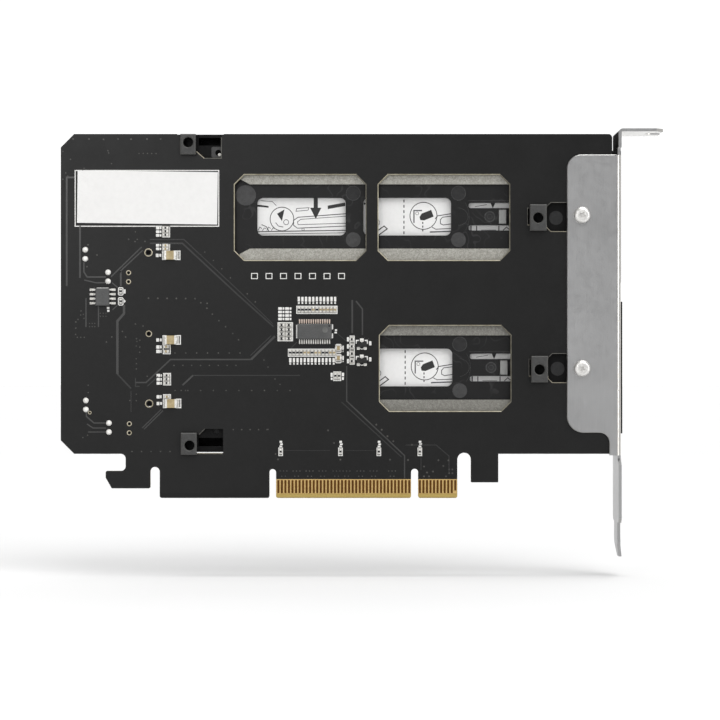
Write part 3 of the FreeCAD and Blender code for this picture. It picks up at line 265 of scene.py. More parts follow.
m = Mat("label_stock")
m.color(m.ramp(m.noise(700, 4), [(0.3, (0.675, 0.670, 0.660)), (0.7, (0.705, 0.700, 0.690))]))
m.rough(m.ramp(m.noise(500, 2), [(0.3, 0.42), (0.7, 0.52)]))
m.bump(m.noise(2500, 3), 0.12, 0.00003)

m = Mat("card_stock")
m.color(m.ramp(m.noise(900, 4), [(0.3, (0.695, 0.692, 0.685)), (0.7, (0.735, 0.732, 0.725))]))
m.rough(m.ramp(m.noise(500, 2), [(0.3, 0.5), (0.7, 0.6)]))
m.bump(m.noise(2500, 3), 0.12, 0.00003)

m = Mat("print_black")
m.color(m.ramp(m.noise(2200, 3), [(0.3, (0.004, 0.004, 0.0043)), (0.7, (0.009, 0.009, 0.0093))]))
m.rough(m.ramp(m.noise(1600, 2), [(0.3, 0.45), (0.7, 0.6)]))
m.bump(m.noise(5000, 2), 0.1, 0.00002)

m = Mat("print_grey")
m.color(m.ramp(m.noise(2200, 3), [(0.3, (0.050, 0.050, 0.052)), (0.7, (0.095, 0.095, 0.098))]))
m.rough(m.ramp(m.noise(1600, 2), [(0.3, 0.45), (0.7, 0.6)]))
m.bump(m.noise(5000, 2), 0.1, 0.00002)

m = Mat("print_pale")
m.color(m.ramp(m.noise(1700, 3), [(0.3, (0.44, 0.44, 0.445)), (0.7, (0.60, 0.60, 0.605))]))
m.rough(m.ramp(m.noise(1600, 2), [(0.3, 0.45), (0.7, 0.6)]))
m.bump(m.noise(5000, 2), 0.1, 0.00002)

# bracket: plated sheet, fine grain, faint rolling lines; painted light by face direction: undersides painted lighter,
# the bend's outer side and the slanted edges painted as highlights, and the inner side above the flange painted as
# shade
m = Mat("bracket_plate")
lines = m.noise(1, 4, 0.6, m.scaled(9000, 9000, 130))
soft = m.noise(60, 3)
tone = m.ramp(soft, [(0.3, (0.342, 0.342, 0.344)), (0.7, (0.390, 0.390, 0.392))])
tone = m.mix(m.ramp(lines, [(0.35, 0.0), (0.75, 0.35)]), tone, (0.47, 0.47, 0.47))
bn = m.xyz(m.co.outputs["Normal"])
# faces pointing down are painted lighter: painted light
under = m.math("LESS_THAN", bn[2], -0.8)
tone = m.mix(under, tone, (0.78, 0.775, 0.76))
bp = m.xyz(m.co.outputs["Object"])
inner_face_painted_shade = m.math("MULTIPLY", m.math("LESS_THAN", bn[0], -0.9), m.math("GREATER_THAN", bp[2], 0.094))     # above the flange the inner side gets painted shade: a dark tone, matt and not metal
tone = m.mix(inner_face_painted_shade, tone, (0.018, 0.017, 0.016))
# slanted edge faces painted lighter: painted highlight
slant_edge_painted_highlight = m.math("MULTIPLY", m.between(bn[1], -0.85, -0.5), m.math("LESS_THAN", m.math("ABSOLUTE", bn[0]), 0.9))
# the bend's outer side, facing +X, painted bright: painted highlight
bend_painted_highlight = m.math("GREATER_THAN", bn[0], 0.25)
tone = m.mix(bend_painted_highlight, tone, (0.66, 0.64, 0.60))
m.color(m.mix(m.math("MULTIPLY", slant_edge_painted_highlight, 0.8), tone, (0.40, 0.395, 0.38)))
m.rough(m.mix(inner_face_painted_shade, m.ramp(m.noise(500, 3), [(0.3, 0.33), (0.7, 0.39)]), (0.95, 0.95, 0.95)))
m.link(m.math("SUBTRACT", 1.0, inner_face_painted_shade), m.b.inputs["Metallic"])
m.b.inputs["Specular IOR Level"].default_value = 0.05
m.bump(m.noise(3500, 2), 0.06, 0.00002)

m = Mat("screw_metal")
turn = m.noise(1, 3, 0.5, m.scaled(1800, 1800, 1800))
m.color(m.ramp(turn, [(0.3, (0.64, 0.63, 0.61)), (0.7, (0.78, 0.77, 0.75))]))
m.rough(m.ramp(m.noise(1400, 2), [(0.3, 0.34), (0.7, 0.44)]))
m.set(Metallic=0.9)
m.bump(turn, 0.12, 0.00003)

# galvanised bay rails: spangle and drawn grain; the lower rails get a copy darkened as painted shade
for zname, k in (("zinc_sheet", 1.0), ("zinc_sheet_painted_shade", 0.62)):
    def zc3(r, g, b, k=k):
        return (r * k, g * k, b * k)
    m = Mat(zname)
    cells = m.voronoi(1900, m.scaled(1.0, 1.0, 0.8), "Color")
    cell_v = m.xyz(cells)[0]
    mott = m.noise(3900, 5, 0.75)
    base = m.ramp(cell_v, [(0.0, zc3(0.245, 0.240, 0.215)), (1.0, zc3(0.365, 0.360, 0.330))])
    base = m.mix(m.ramp(mott, [(0.42, 0.0), (0.66, 0.60)]), base, zc3(0.60, 0.59, 0.54))
    base = m.mix(m.ramp(m.noise(2700, 4, 0.7, m.scaled(1, 1, 1.3)), [(0.44, 0.0), (0.64, 0.55)]), base, zc3(0.15, 0.143, 0.12))
    base = m.mix(m.ramp(m.noise(90, 3), [(0.35, 0.0), (0.8, 0.4)]), base, zc3(0.24, 0.23, 0.20))
    m.color(base)
    m.rough(m.ramp(mott, [(0.3, 0.40), (0.7, 0.58)]))
    m.set(Metallic=0.55)
    m.bump(mott, 0.18, 0.00004)

# moulded plastics
m = Mat("tray_black")      # polished moulding with faint flow swirls
flow = m.wave(130, "DIAGONAL", m.scaled(1.0, 1.0, 1.0), 22.0)
thin = m.math("MULTIPLY", m.ramp(flow, [(0.86, 0.0), (0.98, 1.0)]), m.ramp(m.noise(110, 2), [(0.44, 0.0), (0.58, 1.0)]))
m.color(m.mix(m.math("MULTIPLY", thin, 0.8), m.ramp(m.noise(140, 4), [(0.3, (0.0030, 0.0030, 0.0032)), (0.7, (0.0050, 0.0050, 0.0052))]), (0.021, 0.021, 0.0215)))
m.rough(m.ramp(m.noise(430, 3), [(0.3, 0.36), (0.7, 0.46)]))
m.b.inputs["Specular IOR Level"].default_value = 0.26
m.bump(m.noise(3200, 2), 0.14, 0.00004)

m = Mat("rack_black")      # painted light: the inside, away from the feet that stand on the board, is painted dark as shade, and the slanted faces of the feet carry a painted highlight
rp = m.xyz(m.co.outputs["Object"])
rn = m.xyz(m.co.outputs["Normal"])
foot = m.math("LESS_THAN", rp[1], -0.00082)
inside_painted_shade = m.ramp(m.noise(200, 4), [(0.3, (0.0026, 0.0026, 0.0027)), (0.7, (0.0050, 0.0050, 0.0052))])
outer = m.ramp(m.noise(900, 4), [(0.3, (0.031, 0.031, 0.031)), (0.7, (0.048, 0.048, 0.047))])
facing = m.between(rn[1], -0.95, -0.4)
facing = m.math("MULTIPLY", facing, foot)
foot_edge_painted_highlight = m.mix(m.math("MULTIPLY", facing, 0.6), outer, (0.075, 0.074, 0.070))
m.color(m.mix(foot, inside_painted_shade, foot_edge_painted_highlight))
m.rough(m.ramp(m.noise(620, 3), [(0.3, 0.42), (0.7, 0.54)]))
m.link(m.math("ADD", 0.10, m.math("MULTIPLY", foot, 0.25)), m.b.inputs["Specular IOR Level"])
m.bump(m.noise(2800, 2), 0.22, 0.00004)
m = speckle("rack_shell", (0.012, 0.012, 0.0125), (0.018, 0.018, 0.0185), 120, 0.46, 0.58, 0.25, bump_scale=2600)
m = speckle("ejector_mark", (0.017, 0.017, 0.0175), (0.032, 0.032, 0.0325), 900, 0.36, 0.48, 0.2, bump_scale=3500)
m = speckle("socket_black", (0.014, 0.014, 0.0145), (0.02, 0.02, 0.0205), 300, 0.42, 0.55, 0.18, bump_scale=3500)
m = speckle("ejector_faint", (0.0085, 0.0085, 0.009), (0.016, 0.016, 0.0165), 900, 0.38, 0.5, 0.2, bump_scale=3500, spec=0.3)
m = speckle("ejector_line", (0.020, 0.020, 0.0205), (0.050, 0.050, 0.0505), 1300, 0.38, 0.5, 0.2, bump_scale=3500, spec=0.3)
m = speckle("ejector_pale", (0.085, 0.086, 0.083), (0.125, 0.125, 0.12), 900, 0.4, 0.5, 0.2, bump_scale=3500, spec=0.3)
m = speckle("lever_grey", (0.05, 0.05, 0.052), (0.07, 0.07, 0.072), 200, 0.4, 0.5, 0.22, bump_scale=2800)

m = Mat("catch_grey")
stripe = m.wave(900, "X", m.scaled(1, 1, 1), 0.5)
m.color(m.mix(m.ramp(stripe, [(0.2, 0.0), (0.8, 1.0)]), m.ramp(m.noise(900, 3), [(0.3, (0.17, 0.172, 0.168)), (0.7, (0.20, 0.202, 0.198))]), (0.27, 0.272, 0.265)))
m.rough(m.ramp(m.noise(900, 2), [(0.3, 0.42), (0.7, 0.55)]))
m.bump(stripe, 0.25, 0.00004)

# powder-coated rack cover: orange-peel
m = Mat("powder_black")
peel = m.noise(1500, 3, 0.5)
m.color(m.ramp(m.noise(60, 3), [(0.3, (0.012, 0.012, 0.0125)), (0.7, (0.018, 0.018, 0.0185))]))
m.rough(m.ramp(peel, [(0.3, 0.42), (0.7, 0.56)]))
m.bump(peel, 0.45, 0.00006)

m = Mat("lid_anodised")
m.color(m.ramp(m.noise(1, 4, 0.6, m.scaled(130, 5000, 5000)), [(0.3, (0.16, 0.16, 0.165)), (0.7, (0.24, 0.24, 0.245))]))
m.rough(m.ramp(m.noise(700, 3), [(0.3, 0.34), (0.7, 0.46)]))
m.set(Metallic=0.85)
m.bump(m.noise(1, 3, 0.5, m.scaled(200, 7000, 7000)), 0.12, 0.00003)

m = Mat("pad_silicone")
m.color(m.ramp(m.noise(900, 4), [(0.3, (0.20, 0.26, 0.36)), (0.7, (0.26, 0.33, 0.44))]))
m.rough(m.ramp(m.noise(900, 2), [(0.3, 0.6), (0.7, 0.75)]))
m.bump(m.noise(1800, 3), 0.3, 0.00006)

m = Mat("pin_steel")
m.color(m.ramp(m.noise(1, 3, 0.5, m.scaled(4000, 200, 4000)), [(0.3, (0.5, 0.5, 0.5)), (0.7, (0.62, 0.62, 0.62))]))
m.rough(m.ramp(m.noise(900, 2), [(0.3, 0.28), (0.7, 0.36)]))
m.set(Metallic=0.95)
m.bump(m.noise(3000, 2), 0.05, 0.00002)

m = Mat("tin_solder")
sold = m.noise(1300, 4, 0.6)
m.color(m.ramp(sold, [(0.3, (0.54, 0.53, 0.50)), (0.7, (0.74, 0.73, 0.70))]))
m.rough(m.ramp(m.noise(2200, 2), [(0.3, 0.24), (0.7, 0.40)]))
m.set(Metallic=0.55)
m.bump(sold, 0.2, 0.00004)

m = Mat("pad_tin")
m.color(m.ramp(m.noise(1500, 4, 0.65), [(0.3, (0.36, 0.35, 0.325)), (0.7, (0.60, 0.59, 0.56))]))
m.rough(m.ramp(m.noise(2200, 2), [(0.3, 0.30), (0.7, 0.45)]))
m.set(Metallic=0.4)
m.bump(m.noise(1500, 4, 0.65), 0.25, 0.00004)

m = Mat("bore_shadow")
m.color(m.ramp(m.noise(700, 2), [(0.3, (0.0022, 0.0022, 0.0022)), (0.7, (0.0042, 0.0042, 0.0041))]))
m.rough(m.ramp(m.noise(900, 2), [(0.3, 0.8), (0.7, 0.95)]))
m.b.inputs["Specular IOR Level"].default_value = 0.05
m.bump(m.noise(3000, 2), 0.1, 0.00002)

m = Mat("tin_bright")
m.color(m.ramp(m.noise(1500, 4, 0.65), [(0.3, (0.62, 0.61, 0.58)), (0.7, (0.82, 0.81, 0.78))]))
m.rough(m.ramp(m.noise(2200, 2), [(0.3, 0.35), (0.7, 0.5)]))
m.bump(m.noise(1500, 3), 0.2, 0.00003)

m = Mat("mask_gap")
m.color(m.ramp(m.noise(900, 3), [(0.3, (0.006, 0.006, 0.006)), (0.7, (0.014, 0.013, 0.012))]))
m.rough(m.ramp(m.noise(2200, 2), [(0.3, 0.45), (0.7, 0.6)]))
m.bump(m.noise(3500, 2), 0.1, 0.00002)

m = Mat("flux_tan")
m.color(m.ramp(m.noise(1700, 4), [(0.3, (0.20, 0.150, 0.090)), (0.7, (0.36, 0.285, 0.19))]))
m.rough(m.ramp(m.noise(2200, 2), [(0.3, 0.35), (0.7, 0.5)]))
m.bump(m.noise(3500, 2), 0.1, 0.00002)

m = Mat("chip_lead_metal")     # bright solder; the clock chip's upper row looks pinkish
lp = m.xyz(m.co.outputs["Object"])
pink = m.math("MULTIPLY", m.between(lp[0], -0.034, -0.0225), m.math("GREATER_THAN", lp[2], 0.047))
lead_n = m.noise(1500, 4, 0.65)
m.color(m.mix(pink, m.ramp(lead_n, [(0.3, (0.50, 0.49, 0.46)), (0.7, (0.74, 0.73, 0.70))]), m.ramp(lead_n, [(0.3, (0.44, 0.34, 0.28)), (0.7, (0.62, 0.52, 0.45))])))
m.rough(m.ramp(m.noise(2200, 2), [(0.3, 0.30), (0.7, 0.42)]))
m.set(Metallic=0.12)
m.bump(m.noise(1500, 3), 0.2, 0.00003)

m = Mat("lead_copper")
m.color(m.ramp(m.noise(1500, 4, 0.65), [(0.3, (0.42, 0.33, 0.28)), (0.7, (0.62, 0.53, 0.47))]))
m.rough(m.ramp(m.noise(2200, 2), [(0.3, 0.30), (0.7, 0.45)]))
m.set(Metallic=0.45)
m.bump(m.noise(1500, 3), 0.2, 0.00003)

m = Mat("case_dark")
m.color(m.ramp(m.noise(1500, 3), [(0.3, (0.006, 0.006, 0.006)), (0.7, (0.022, 0.022, 0.022))]))
m.rough(m.ramp(m.noise(2200, 2), [(0.3, 0.50), (0.7, 0.62)]))
m.b.inputs["Specular IOR Level"].default_value = 0.25
m.bump(m.noise(3500, 2), 0.2, 0.00003)

m = Mat("contact_gold")
m.color(m.ramp(m.noise(1300, 3), [(0.3, (0.66, 0.48, 0.2)), (0.7, (0.80, 0.60, 0.28))]))
m.rough(m.ramp(m.noise(2200, 2), [(0.3, 0.26), (0.7, 0.36)]))
m.set(Metallic=0.9)
m.bump(m.noise(3000, 2), 0.08, 0.00002)

for cname, k in (("chip_case", 1.0), ("chip_case_light", 1.02)):
    m = Mat(cname)
    spark = m.noise(3800, 3, 0.7)
    m.color(m.mix(m.ramp(spark, [(0.45, 0.0), (0.8, 0.6)]), m.ramp(m.noise(260, 3), [(0.3, (0.040 * k, 0.041 * k, 0.041 * k)), (0.7, (0.060 * k, 0.061 * k, 0.060 * k))]), (0.11 * k, 0.11 * k, 0.11 * k)))
    m.rough(m.ramp(spark, [(0.3, 0.44), (0.7, 0.6)]))
    m.bump(spark, 0.3, 0.00004)

m = Mat("resistor_glaze")
m.color(m.ramp(m.noise(2500, 3), [(0.3, (0.012, 0.012, 0.014)), (0.7, (0.022, 0.022, 0.024))]))
m.rough(m.ramp(m.noise(2200, 2), [(0.3, 0.2), (0.7, 0.32)]))
m.bump(m.noise(3500, 2), 0.1, 0.00002)

m = Mat("ceramic_tan")
m.color(m.ramp(m.noise(1100, 4), [(0.3, (0.27, 0.205, 0.095)), (0.7, (0.40, 0.32, 0.175))]))
m.rough(m.ramp(m.noise(2200, 2), [(0.3, 0.32), (0.7, 0.42)]))
m.bump(m.noise(3500, 2), 0.15, 0.00003)

m = Mat("pipe_clear")
m.color(m.ramp(m.noise(900, 2), [(0.3, (0.86, 0.89, 0.89)), (0.7, (0.92, 0.94, 0.94))]))
m.rough(m.ramp(m.noise(1500, 2), [(0.3, 0.12), (0.7, 0.2)]))
m.b.inputs["Transmission Weight"].default_value = 0.85
m.b.inputs["IOR"].default_value = 1.49
m.bump(m.noise(2500, 2), 0.05, 0.00002)

BY_NODE = {
    "pcb": "board_mask", "bracket": "bracket_plate", "bracket_screws": "screw_metal", "rack_base": "rack_black",
    "rack_cover": "powder_black", "cover_screws": "screw_metal", "upper_bay_rails": "zinc_sheet",
    "lower_bay_rails": "zinc_sheet_painted_shade", "light_pipes": "pipe_clear", "upper_m2_socket": "socket_black",
    "lower_m2_socket": "socket_black", "socket_contacts": "contact_gold", "header_bases": "socket_black",
    "header_pins": "tin_solder", "memory_chip": "chip_case_light", "clock_chip": "chip_case", "transistors": "case_dark",
    "chip_leads": "chip_lead_metal", "chip_resistors": "resistor_glaze", "chip_capacitors": "ceramic_tan",
    "part_terminals": "tin_solder", "large_capacitors": "ceramic_tan", "blank_label": "label_stock",
}
for side in ("upper", "lower"):
    BY_NODE.update({side + "_tray": "tray_black", side + "_tray_cover": "lid_anodised", side + "_cover_catch": "catch_grey",
                    side + "_printed_card": "card_stock", side + "_thermal_pad": "pad_silicone",
                    side + "_lever_pin": "pin_steel", side + "_tray_lever": "lever_grey"})
for node, name in BY_NODE.items():
    ob = NODES[node]
    if not ob.material_slots:
        ob.data.materials.append(None)
    for s in ob.material_slots:
        s.link = "OBJECT"
        s.material = MATS[name]

# ------------------------------------------------------------------ thin shapes on a face


class Sheet:
    """Closed thin prisms, rings, domes and strokes on a face square to Y. x and z in mm; y0 is the outer level, y1 the one it stands on."""

    def __init__(self, y0, y1):
        self.y0, self.y1 = y0, y1
        self.v, self.f = [], []
        self.fat = 1.0

    def poly(self, pts, inset=0.0, y0=None):
        y0 = self.y0 if y0 is None else y0
        n = len(pts)
        area = sum(pts[i][0] * pts[(i + 1) % n][1] - pts[(i + 1) % n][0] * pts[i][1] for i in range(n))
        if area < 0:
            pts = pts[::-1]
        top = pts
        if inset:
            top = []
            for i in range(n):
                a, b, c = Vector(pts[i - 1]), Vector(pts[i]), Vector(pts[(i + 1) % n])
                d1, d2 = (b - a).normalized(), (c - b).normalized()
                n1, n2 = Vector((-d1.y, d1.x)), Vector((-d2.y, d2.x))
                k = 1 + n1.dot(n2)
                top.append(tuple(b + (n1 + n2) * (inset / max(k, 0.3))))
        k = len(self.v)
        self.v += [(x, y0, z) for x, z in top] + [(x, self.y1, z) for x, z in pts]
        self.f.append(list(range(k, k + n)))
        self.f.append(list(range(k + 2 * n - 1, k + n - 1, -1)))
        for i in range(n):
            j = (i + 1) % n
            self.f.append([k + i, k + n + i, k + n + j, k + j])

    def box(self, x0, x1, z0, z1, inset=0.0):
        self.poly([(x0, z0), (x1, z0), (x1, z1), (x0, z1)], inset)

    def disc(self, cx, cz, r, n=28, inset=0.0):
        self.poly([(cx + r * math.cos(2 * math.pi * i / n), cz + r * math.sin(2 * math.pi * i / n)) for i in range(n)], inset)

    def ring(self, cx, cz, r0, r1, n=32, a0=0.0, a1=360.0):
        full = abs(a1 - a0) >= 359.9
        k = len(self.v)
        m = n if full else n + 1
        for i in range(m):
            a = math.radians(a0 + (a1 - a0) * i / n)
            c, s = math.cos(a), math.sin(a)
            self.v += [(cx + r0 * c, self.y0, cz + r0 * s), (cx + r1 * c, self.y0, cz + r1 * s),
                       (cx + r1 * c, self.y1, cz + r1 * s), (cx + r0 * c, self.y1, cz + r0 * s)]
        for i in range(n):
            p, q = k + 4 * i, k + 4 * ((i + 1) % m)
            for e in range(4):
                self.f.append([p + e, p + (e + 1) % 4, q + (e + 1) % 4, q + e])
        if not full:
            self.f.append([k, k + 3, k + 2, k + 1])
            e = k + 4 * (m - 1)
            self.f.append([e, e + 1, e + 2, e + 3])

    def line(self, pts, w, closed=False):
        """A stroke of width w along a polyline, with mitred corners."""
        w = w * self.fat
        n = len(pts)
        P = [Vector(p) for p in pts]
        left, right = [], []
        for i in range(n):
            if closed or 0 < i < n - 1:
                d1 = (P[i] - P[i - 1]).normalized()
                d2 = (P[(i + 1) % n] - P[i]).normalized()
            elif i == 0:
                d1 = d2 = (P[1] - P[0]).normalized()
            else:
                d1 = d2 = (P[i] - P[i - 1]).normalized()
            n1, n2 = Vector((-d1.y, d1.x)), Vector((-d2.y, d2.x))
            o = (n1 + n2) * (w / 2 / max(1 + n1.dot(n2), 0.35))
            left.append(P[i] + o)
            right.append(P[i] - o)
        k = len(self.v)
        for a, b in zip(left, right):
            self.v += [(a.x, self.y0, a.y), (b.x, self.y0, b.y), (b.x, self.y1, b.y), (a.x, self.y1, a.y)]
        last = n if closed else n - 1
        for i in range(last):
            p, q = k + 4 * i, k + 4 * ((i + 1) % n)
            for e in range(4):
                self.f.append([p + e, p + (e + 1) % 4, q + (e + 1) % 4, q + e])
        if not closed:
            self.f.append([k, k + 3, k + 2, k + 1])
            e = k + 4 * (n - 1)
            self.f.append([e, e + 1, e + 2, e + 3])

    def dome(self, cx, cz, rx, rz, tall, n=16, m=5, power=1.0):
        """A rounded bump of that height standing on y1, towards the outer side."""
        s = -1 if self.y0 < self.y1 else 1
        k = len(self.v)
        for j in range(m):
            t = j / m
            r = math.cos(t * math.pi / 2) ** power
            h = math.sin(t * math.pi / 2)
            for i in range(n):
                a = 2 * math.pi * i / n
                self.v.append((cx + rx * r * math.cos(a), self.y1 + s * tall * h, cz + rz * r * math.sin(a)))
        self.v.append((cx, self.y1 + s * tall, cz))
        for j in range(m - 1):
            for i in range(n):
                i2 = (i + 1) % n
                self.f.append([k + j * n + i, k + j * n + i2, k + (j + 1) * n + i2, k + (j + 1) * n + i])
        for i in range(n):
            self.f.append([k + (m - 1) * n + i, k + (m - 1) * n + (i + 1) % n, k + m * n])
        self.f.append([k + i for i in range(n)][::-1])

    def make(self, name, material, slot, body, smooth=False):
        me = bpy.data.meshes.new(name)
        me.from_pydata([(x * MM, y * MM, z * MM) for x, y, z in self.v], [], self.f)
        bm = bmesh.new()
        bm.from_mesh(me)
        bmesh.ops.recalc_face_normals(bm, faces=bm.faces)
        bm.to_mesh(me)
        bm.free()
        if smooth:
            for p in me.polygons:
                p.use_smooth = True
            me.set_sharp_from_angle(angle=math.radians(38))
        ob = bpy.data.objects.new(name, me)
        bpy.context.scene.collection.objects.link(ob)
        ob.data.materials.append(MATS[material])
        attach(ob, body)
        return ob


def rrect(x0, x1, z0, z1, r, n=5):
    pts = []
    for cx, cz, a in ((x1 - r, z1 - r, 0), (x0 + r, z1 - r, 90), (x0 + r, z0 + r, 180), (x1 - r, z0 + r, 270)):
        for i in range(n + 1):
            t = math.radians(a + 90 * i / n)
            pts.append((cx + r * math.cos(t), cz + r * math.sin(t)))
    return pts


S0 = SOLDER - 0.018

# ---- edge contacts on both faces
for side, face in (("solder", SOLDER), ("parts", PARTS_FACE)):
    s = -1 if side == "solder" else 1
    bed = Sheet(face + s * 0.006, face - s * 0.004)
    bed.box(-39.12, -1.03, 1.31, 5.34)
    bed.box(1.03, 12.03, 1.31, 5.34)
    bed.make("contact_bed_" + side, "contact_gap", "board_black", "card")
    fing = Sheet(face + s * 0.042, face + s * 0.002)
    for k in range(38):
        fing.poly(rrect(-1.80 - k, -1.20 - k, 1.40, 5.10, 0.14, 3), 0.02)
    for k in range(11):
        fing.poly(rrect(1.20 + k, 1.80 + k, 2.15 if k == 10 else 1.40, 5.10, 0.14, 3), 0.02)
    fing.make("edge_contacts_" + side, "gold_plate", "contact_gold", "card")

# ---- white marks: box round the label
silk = Sheet(S0, SOLDER + 0.004)
rng = random.Random(7)


def outline(b, w=0.28, c=0.0):
    x0, x1, z0, z1 = b
    h = w / 2
    if c:
        silk.line([(x0 + c, z0 + h), (x1 - c, z0 + h), (x1 - h, z0 + c), (x1 - h, z1 - c), (x1 - c, z1 - h), (x0 + c, z1 - h),
                   (x0 + h, z1 - c), (x0 + h, z0 + c)], w, True)
    else:
        silk.line([(x0 + h, z0 + h), (x1 - h, z0 + h), (x1 - h, z1 - h), (x0 + h, z1 - h)], w, True)


def marks(b, cols, upright=True):
    """A row of plain blobs where a board has its marks: one tall blob with a dot under it for each part."""
    x0, x1, z0, z1 = b
    pitch = (x1 - x0) / cols
    for c in range(cols):
        a = x0 + pitch * (c + 0.16) + rng.random() * 0.06
        e = x0 + pitch * (c + 0.84) - rng.random() * 0.06
        cut = z0 + (z1 - z0) * (0.30 + 0.06 * rng.random())
        silk.poly(rrect(a, e, cut, z1, 0.12, 2))
        silk.poly(rrect(a + 0.08, e - 0.08, z0, cut - 0.16, 0.1, 2))


def side_marks(b, rows):
    """The same beside a stack of parts: one long blob and a dot for each row."""
    x0, x1, z0, z1 = b
    step = (z1 - z0) / rows
    for r in range(rows):
        lo, hi = z0 + step * (r + 0.12), z0 + step * (r + 0.88)
        cut = x0 + (x1 - x0) * (0.62 + 0.08 * rng.random())
        silk.poly(rrect(x0, cut, lo, hi, 0.1, 2))
        silk.poly(rrect(cut + 0.14, x1, lo + 0.06, hi - 0.06, 0.08, 2))


outline((-96.05, -55.22, 76.69, 92.71), 0.27)

# memory chip and the two parts beside it
silk.box(*(-89.84, -86.47, 59.11, 59.48))
silk.box(*(-86.98, -86.25, 53.49, 54.00))
silk.box(*(-86.87, -86.25, 52.64, 53.21))
outline((-83.82, -82.26, 57.25, 59.59), 0.26, 0.36)
outline((-83.82, -82.26, 54.42, 56.77), 0.26, 0.36)
silk.poly(rrect(*(-82.15, -81.67, 57.81, 59.00), 0.1, 2))
silk.poly([(-82.12, 56.20), (-81.61, 55.64), (-82.12, 55.07)])

# clock chip end marks
silk.box(*(-33.49, -33.12, 45.18, 48.97))
silk.box(*(-23.46, -23.03, 47.70, 49.11))
silk.box(*(-23.46, -23.03, 45.18, 46.54))
silk.ring(-23.37, 47.12, 0.62, 0.86, 14, 90, 270)
silk.box(*(-22.52, -21.90, 47.22, 47.72))
silk.box(*(-22.64, -21.99, 46.54, 47.02))

# rows of small parts
outline((-33.43, -21.79, 52.05, 54.34), 0.24)
marks((-33.23, -21.96, 54.87, 56.88), 11)
outline((-35.80, -22.10, 39.95, 42.21), 0.24)
marks((-35.64, -22.38, 37.72, 39.59), 13)
outline((-38.72, -34.36, 44.33, 49.70), 0.22)
for z in (53.57, 52.58, 51.60, 50.61):
    for x in (-37.67, -35.69):
        silk.poly(rrect(x - 0.88, x + 0.2, z - 0.36, z + 0.36, 0.1, 2))
        silk.poly(rrect(x + 0.36, x + 0.88, z - 0.32, z + 0.32, 0.1, 2))
outline((-22.41, -20.66, 41.03, 43.54), 0.24, 0.3)
outline((-22.41, -20.66, 38.12, 40.74), 0.24, 0.3)
marks((-20.54, -19.87, 41.25, 43.09), 1)
marks((-20.54, -19.87, 38.43, 40.21), 1)
outline((-18.37, -16.93, 37.72, 45.92), 0.2)
for z in (44.87, 42.86, 40.80, 38.71):
    silk.poly(rrect(-19.10, -18.54, z - 0.62, z + 0.62, 0.1, 2))
for z in (43.37, 38.80):
    x = -14.92
    for s in (-1, 1):
        silk.line([(x + s * 0.78, z + 1.18), (x + s * 1.55, z + 1.18), (x + s * 1.55, z + 0.2)], 0.34)
    silk.line([(x - 0.42, z - 1.0), (x - 0.2, z - 1.25), (x + 0.2, z - 1.25), (x + 0.42, z - 1.0)], 0.24)
    silk.poly(rrect(-12.89, -12.21, z - 0.2, z + 0.98, 0.14, 2))
outline((-23.00, -20.74, 33.09, 35.77), 0.24)
silk.poly(rrect(*(-23.74, -23.12, 34.24, 35.43), 0.1, 2))
silk.poly(rrect(*(-23.68, -23.17, 33.40, 34.05), 0.1, 2))
silk.poly(rrect(*(-20.57, -19.92, 34.39, 35.43), 0.1, 2))
silk.poly(rrect(*(-20.52, -19.98, 33.40, 34.16), 0.1, 2))

# single parts above the contacts
for x in (-37.85, -20.95, -10.10, 1.47):
    outline((x - 0.64, x + 0.64, 11.89, 14.27), 0.22)
    silk.box(x - 0.35, x + 0.45, 14.43, 14.83)
    silk.box(x - 0.15, x + 0.6, 15.00, 15.45)
    silk.box(x - 0.30, x + 0.42, 15.62, 16.19)

# parts by the headers
for b, rows in (((-73.08, -71.55, 73.72, 76.83), 3), ((-73.08, -71.61, 69.94, 71.91), 2), ((-73.02, -71.50, 40.83, 43.32), 2),
                ((-72.91, -71.44, 31.90, 35.23), 3), ((-72.91, -71.50, 28.00, 29.24), 1)):
    side_marks(b, rows)
for b in ((-71.33, -69.12, 73.67, 76.94), (-71.33, -69.12, 69.82, 72.03), (-71.16, -68.95, 40.66, 43.37), (-71.07, -68.84, 31.84, 35.35),
          (-71.07, -68.84, 27.89, 29.36)):
    outline(b, 0.22)
for x, z in ((-69.03, 68.61), (-68.9, 44.7), (-68.8, 26.75)):
    silk.line([(x - 1.35, z + 1.20), (x - 2.22, z + 1.20), (x - 2.22, z - 1.20), (x - 1.35, z - 1.20)], 0.22)
    silk.line([(x + 1.35, z + 1.20), (x + 2.72, z + 1.20), (x + 2.72, z - 1.20), (x + 1.35, z - 1.20)], 0.28)
    silk.poly(rrect(x - 4.1, x - 3.3, z - 0.5, z + 0.45, 0.1, 2))
    silk.poly(rrect(x - 3.1, x - 2.55, z - 0.4, z + 0.4, 0.1, 2))

# a plain row of tick boxes on the open field beside the windows
for k in range(7):
    x0 = -46.2 + 4.1 * k
    outline((x0, x0 + 1.9, 61.9, 63.6), 0.22)
silk.make("white_marks", "silk_ink", "label_white", "card")

